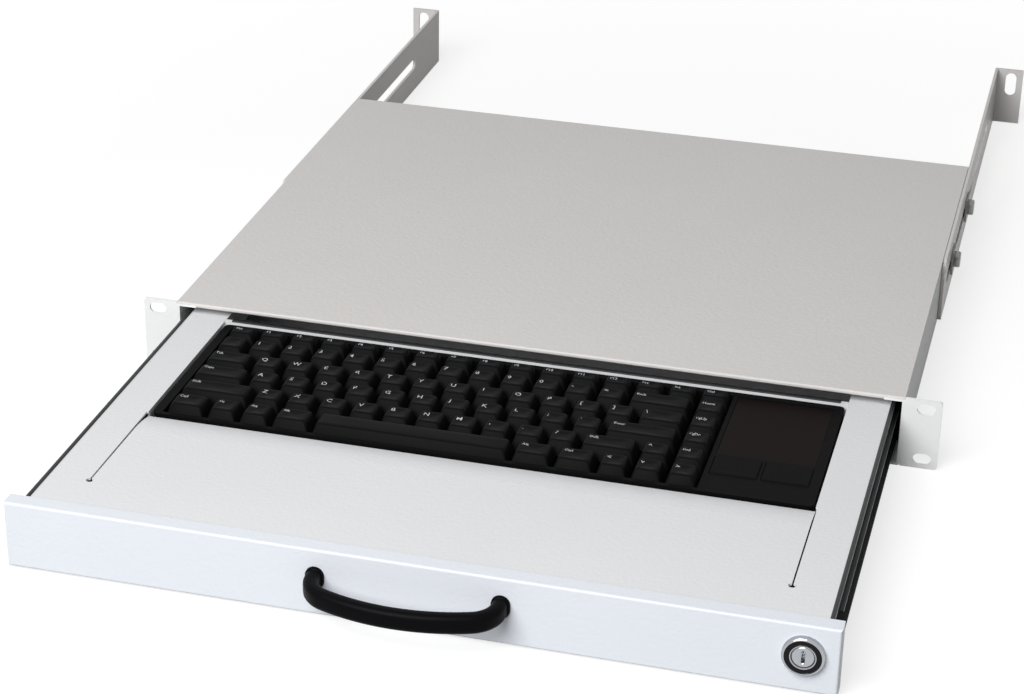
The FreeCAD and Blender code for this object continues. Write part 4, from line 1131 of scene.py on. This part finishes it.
@dataclass
class Keyboard:
    """The compact keyboard: moulded case, dished key caps row by row, and their printed legends."""

    left: float = -181.4
    back: float = -10.75
    pitch: float = 19.05
    function_pitch: float = 15.0
    gap: float = 1.2
    cap_under: float = 9.2
    cap_height: float = 8.0
    side_draft: float = 2.7
    front_draft: float = 3.4
    back_draft: float = 1.6
    dish: float = 0.55
    space_crown: float = 0.35
    rim_inset: float = 0.95
    legend_inset: float = 1.5
    legend_lift: float = 0.05
    legend_height: float = 4.6
    word_height: float = 2.9
    legend_weight: float = 0.006
    dish_rings: tuple[tuple[float, float], ...] = ((0.72, 0.5), (0.42, 0.86), (0.14, 1.0))

    def build(self) -> None:
        """Dresses the case and lays each row of caps with its legends."""
        coat(CASE_ABS, "keyboard_base", "keyboard_top_case")
        coat(BLACK_RUBBER, "keyboard_feet", "switch_mat")
        coat(BOARD_LAMINATE, "circuit_board")
        tree = self.cap_tree()
        back = self.back
        for row in KEY_ROWS:
            depth = self.function_pitch if row.node == "function_keys" else self.pitch
            caps = list(self.caps(row, back - depth / 2))
            short = [cap for cap in caps if cap.legend]
            self.lay(tree, row.node, row.body, short, depth, self.dish)
            settle(self.legends(f"{row.node}_legends", short, depth), row.body, "key_plastic")
            bars = [cap for cap in caps if not cap.legend]
            if bars:
                self.lay(tree, "space_bar", "space_key", bars, depth, -self.space_crown * self.dish)
            back -= depth

    def caps(self, row: KeyRow, middle: float) -> Iterator[KeyCap]:
        """The caps of a row from left to right.

        Args:
            row: The row.
            middle: The middle of its cells along the depth, in mm.

        Yields:
            Each cap.
        """
        left = self.left
        for units, legend in zip(row.widths, row.legends):
            width = units * self.pitch
            yield KeyCap(Vector((left + width / 2, middle, self.cap_under)), (width - self.gap) / 2, legend)
            left += width

    def lay(self, tree: Tree, node: str, body: str, caps: Sequence[KeyCap], depth: float,
            dish: float) -> None:
        """Makes the caps of a node as one piece.

        Args:
            tree: The tree that lays caps.
            node: The CAD node that they stand for.
            body: The body that they ride on.
            caps: The caps.
            depth: The depth of the row's cells, in mm.
            dish: How far the tops are dished, in mm.
        """
        base = with_points(node, [cap.middle for cap in caps])
        mark(base, "half_width", [cap.half_width * MM for cap in caps])
        blank = new_piece(f"{node}_blank", self.blank(depth))
        piece = grown(f"{node}_caps", base, tree, Blank=blank, BlankHalf=self.blank_half * MM, Dish=dish * MM,
                      Finish=KEY_ABS.material())
        bpy.data.objects.remove(blank)
        settle(piece, body, "key_plastic", node)

    @property
    def blank_half(self) -> float:
        """Half the foot width of a cap one pitch wide."""
        return (self.pitch - self.gap) / 2

    def top_corners(self, half_width: float, depth: float, inset: float) -> tuple[Vector, Vector]:
        """The corners of a cap's top about the middle of its cell, all in mm.

        Args:
            half_width: Half the cap's width at its foot.
            depth: The depth of its cell.
            inset: How far the corners lie inside the drafted top.

        Returns:
            The left front and the right back corner.
        """
        half_depth = (depth - self.gap) / 2
        side = half_width - self.side_draft - inset
        return (Vector((-side, -half_depth + self.front_draft + inset)),
                Vector((side, half_depth - self.back_draft - inset)))

    def blank(self, depth: float) -> bpy.types.Mesh:
        """A cap one pitch wide, with the marks that let it be widened, dished and polished.

        Args:
            depth: The depth of the row's cells, in mm.

        Returns:
            The mesh, standing on the origin, in metres.
        """
        half_depth = (depth - self.gap) / 2
        foot = Vector((self.blank_half, half_depth))
        low, high = self.top_corners(self.blank_half, depth, 0.0)
        rings, spread, dish = [], [], []
        for level, inset, radius in ((0.0, 0.0, 0.7), (0.86, 0.0, 1.3), (0.945, 0.2, 1.6), (0.985, 0.5, 1.8),
                                     (1.0, self.rim_inset, 2.0)):
            step = Vector((inset, inset))
            rings.append(soft_ring(-foot + (low + foot) * level + step, foot + (high - foot) * level - step,
                                   radius, self.cap_height * level))
            spread.append(1.0)
            dish.append(0.0)
        rim, middle = rings[-1], (low + high) / 2
        for share, drop in self.dish_rings:
            rings.append([Vector((point.x * share, middle.y + (point.y - middle.y) * share, point.z))
                          for point in rim])
            spread.append(share)
            dish.append(drop)
        mesh = loft("cap_blank", rings)
        mark(mesh, "spread", [math.copysign(share, point.x) for points, share in zip(rings, spread)
                              for point in points])
        for name in ("dish", "touch"):
            mark(mesh, name, [drop for points, drop in zip(rings, dish) for _ in points])
        return mesh

    def cap_tree(self) -> Tree:
        """The tree that sets a cap on each point, widens it to the point's width and dishes its top.

        Returns:
            The tree, with the blank cap, its half width, the dish and the finish as inputs.
        """
        tree, given = new_tree(
            "lay_key_caps", Blank="NodeSocketObject", BlankHalf="NodeSocketFloat", Dish="NodeSocketFloat",
            Finish="NodeSocketMaterial")
        marks = {
            name: add_node(
                tree, "GeometryNodeInputNamedAttribute", {"Name": name}, data_type="FLOAT").outputs[0]
            for name in ("spread", "dish", "half_width")
        }
        blank = add_node(
            tree, "GeometryNodeObjectInfo", {"Object": given.outputs["Blank"]}).outputs["Geometry"]
        placed = add_node(tree, "GeometryNodeInstanceOnPoints", {
            "Points": given.outputs["Geometry"], "Instance": blank,
        }).outputs[0]
        whole = add_node(tree, "GeometryNodeRealizeInstances", {"Geometry": placed}).outputs[0]
        extra = add_node(tree, "ShaderNodeMath", {
            0: marks["half_width"], 1: given.outputs["BlankHalf"],
        }, operation="SUBTRACT").outputs[0]
        wider = add_node(tree, "ShaderNodeMath", {
            0: extra, 1: marks["spread"],
        }, operation="MULTIPLY").outputs[0]
        sunk = add_node(tree, "ShaderNodeMath", {
            0: marks["dish"], 1: given.outputs["Dish"],
        }, operation="MULTIPLY").outputs[0]
        lower = add_node(tree, "ShaderNodeMath", {0: sunk, 1: -1.0}, operation="MULTIPLY").outputs[0]
        shift = add_node(tree, "ShaderNodeCombineXYZ", {"X": wider, "Z": lower}).outputs[0]
        shaped = add_node(tree, "GeometryNodeSetPosition", {"Geometry": whole, "Offset": shift}).outputs[0]
        close_tree(tree, shaped, given.outputs["Finish"])
        return tree

    def top_level(self, share: float) -> float:
        """The height of a dished top.

        Args:
            share: How far the point lies from the top's middle, as a share of the way to its rim.

        Returns:
            The height, in mm.
        """
        stops = [(1.0, 0.0), *self.dish_rings, (0.0, 1.0)]
        for (outer, near), (inner, far) in zip(stops, stops[1:]):
            if share >= inner:
                break
        drop = near + (far - near) * (min(share, outer) - outer) / (inner - outer)
        return self.cap_under + self.cap_height - self.dish * drop

    def legends(self, name: str, caps: Sequence[KeyCap], depth: float) -> bpy.types.Object:
        """Prints the legends of a row on its dished tops.

        Args:
            name: The piece's name.
            caps: The caps that carry a legend.
            depth: The depth of the row's cells, in mm.

        Returns:
            All the legends as one piece.
        """
        work = bmesh.new()
        for cap in caps:
            low, high = self.top_corners(cap.half_width, depth, self.legend_inset)
            edge = high.x / (high.x + self.legend_inset - self.rim_inset)
            letters = self.letters(cap.legend)
            for vertex in letters.vertices:
                x, y = low.x + vertex.co.x, high.y + vertex.co.y
                share = max(abs(x) / high.x, abs(y - (low.y + high.y) / 2) / (high.y - low.y) * 2)
                level = self.top_level(share * edge) + self.legend_lift
                vertex.co = Vector((cap.middle.x + x, cap.middle.y + y, level)) * MM
            work.from_mesh(letters)
            bpy.data.meshes.remove(letters)
        mesh = taken(work, name)
        mesh.materials.append(LEGEND_INK.material())
        return new_piece(name, mesh)

    def letters(self, legend: str) -> bpy.types.Mesh:
        """A legend as a flat mesh.

        Args:
            legend: Its letters.

        Returns:
            The mesh, in mm, hung from the origin by its top left corner.
        """
        line = bpy.data.curves.new("legend", "FONT")
        line.body = legend
        line.size = self.legend_height if len(legend) == 1 else self.word_height
        line.align_y = "TOP"
        line.offset = self.legend_weight * line.size
        line.resolution_u = 2
        holder = bpy.data.objects.new("legend", line)
        mesh = bpy.data.meshes.new_from_object(holder)
        bpy.data.objects.remove(holder)
        bpy.data.curves.remove(line)
        return mesh


@dataclass
class Touchpad:
    """The smooth pad at the right of the keys, with its two buttons."""

    surface: str = "touchpad_surface"
    buttons: tuple[str, ...] = ("left_touchpad_button", "right_touchpad_button")

    def build(self) -> None:
        """Dresses the pad and its buttons."""
        coat(PAD_FILM, self.surface)
        coat(CASE_ABS, *self.buttons)


@dataclass
class Studio:
    """A pale floor, one large soft lamp from the front left, a weak sky, and the camera."""

    camera_place: tuple[float, float, float] = (0.319778, -1.295933, 0.684492)
    azimuth: float = 14.311
    elevation: float = 26.41
    roll: float = 1.075
    lens: float = 89.40
    lamp_place: tuple[float, float, float] = (-0.5, -1.6, 1.5)
    lamp_size: float = 1.5
    lamp_power: float = 57.0
    sky: float = 0.19
    floor_half: float = 6.0
    floor_gap: float = 0.0002
    floor_colour: str = "#A0A0A0"
    floor_glow: float = 0.74
    glow_near: float = 0.5
    glow_far: float = 1.8

    def build(self) -> None:
        """Sets the floor, the sky, the lamp and the camera."""
        bpy.context.scene.view_settings.view_transform = "Standard"
        self.floor()
        self.world()
        self.lamp()
        self.camera()

    def seen(self, tree: Tree) -> Socket:
        """Tells the rays that show the background to the eye: straight, mirrored or through glass.

        Args:
            tree: The tree of the floor or the sky.

        Returns:
            One for such a ray, nought for a ray that only lights.
        """
        path = add_node(tree, "ShaderNodeLightPath").outputs
        shown = add_node(tree, "ShaderNodeMath", {
            0: path["Is Camera Ray"], 1: path["Is Glossy Ray"]}, operation="MAXIMUM").outputs[0]
        return add_node(tree, "ShaderNodeMath", {
            0: shown, 1: path["Is Transmission Ray"]}, operation="MAXIMUM").outputs[0]

    def floor(self) -> None:
        """A pale floor that takes the shelf's shadow, looks white elsewhere and fades into the sky."""
        half, level = self.floor_half, CAD_BOX[0][2] - self.floor_gap
        mesh = bpy.data.meshes.new("studio_floor")
        corners = [(-half, -half, level), (half, -half, level), (half, half, level), (-half, half, level)]
        mesh.from_pydata(corners, [], [(0, 1, 2, 3)])
        material = bpy.data.materials.new("pale_studio_floor")
        material.use_nodes = True
        tree = material.node_tree
        tree.nodes.clear()
        matt = add_node(tree, "ShaderNodeBsdfDiffuse", {"Color": linear(self.floor_colour)}).outputs[0]
        place = add_node(tree, "ShaderNodeTexCoord").outputs["Object"]
        reach = add_node(tree, "ShaderNodeVectorMath", {0: place}, operation="LENGTH").outputs["Value"]
        fade = add_node(tree, "ShaderNodeMapRange", {
            "Value": reach, "From Min": self.glow_near, "From Max": self.glow_far, "To Min": self.floor_glow,
            "To Max": 1.0,
        }).outputs["Result"]
        strength = add_node(tree, "ShaderNodeMath", {0: self.seen(tree), 1: fade}, operation="MULTIPLY")
        glow = add_node(tree, "ShaderNodeEmission", {"Strength": strength.outputs[0]}).outputs[0]
        both = add_node(tree, "ShaderNodeAddShader", {0: matt, 1: glow}).outputs[0]
        add_node(tree, "ShaderNodeOutputMaterial", {"Surface": both})
        mesh.materials.append(material)
        new_piece("studio_floor", mesh)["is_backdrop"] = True

    def world(self) -> None:
        """A sky that is white to the eye and weak as light."""
        world = bpy.data.worlds.new("studio_sky")
        world.use_nodes = True
        tree = world.node_tree
        strength = add_node(tree, "ShaderNodeMapRange", {
            "Value": self.seen(tree), "To Min": self.sky, "To Max": 1.0,
        })
        sky = tree.nodes["Background"]
        sky.inputs["Color"].default_value = (1.0, 1.0, 1.0, 1.0)
        tree.links.new(strength.outputs["Result"], sky.inputs["Strength"])
        bpy.context.scene.world = world

    def lamp(self) -> None:
        """A large square lamp aimed at the shelf."""
        light = bpy.data.lights.new("soft_box", "AREA")
        light.size = self.lamp_size
        light.energy = self.lamp_power
        lamp = bpy.data.objects.new("soft_box", light)
        lamp.location = self.lamp_place
        lamp.rotation_euler = (-Vector(self.lamp_place)).to_track_quat("-Z", "Y").to_euler()
        bpy.context.scene.collection.objects.link(lamp)

    def camera(self) -> None:
        """The camera at the viewing angle, slightly rolled."""
        turn, rise, roll = (math.radians(angle) for angle in (self.azimuth, self.elevation, self.roll))
        back = Vector((math.sin(turn) * math.cos(rise), -math.cos(turn) * math.cos(rise), math.sin(rise)))
        right = (-back).cross(Vector((0.0, 0.0, 1.0))).normalized()
        up = right.cross(-back)
        level_right = right * math.cos(roll) + up * math.sin(roll)
        level_up = up * math.cos(roll) - right * math.sin(roll)
        data = bpy.data.cameras.new("camera")
        data.lens = self.lens
        camera = bpy.data.objects.new("camera", data)
        turned = Matrix((level_right, level_up, back)).transposed().to_4x4()
        camera.matrix_world = Matrix.Translation(self.camera_place) @ turned
        bpy.context.scene.collection.objects.link(camera)
        bpy.context.scene.camera = camera


def write_sizes() -> None:
    """Gathers the box of the CAD and that of the dressed shelf, without writing them anywhere."""
    boxes = {"cad": CAD_BOX, "visual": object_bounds()}
    {name: [list(corner) for corner in box] for name, box in boxes.items()}


def main() -> None:
    """Builds the assemblies in order, then the studio."""
    for assembly in (Housing(), RearBrackets(), BallSlides(), Drawer(), PullHandle(), KeyLock(), Keyboard(),
                     Touchpad(), Studio()):
        LOG.info("%s", type(assembly).__name__)
        assembly.build()
    write_sizes()


if __name__ == "__main__":
    logging.basicConfig(level=logging.INFO, format="%(message)s")
    main()
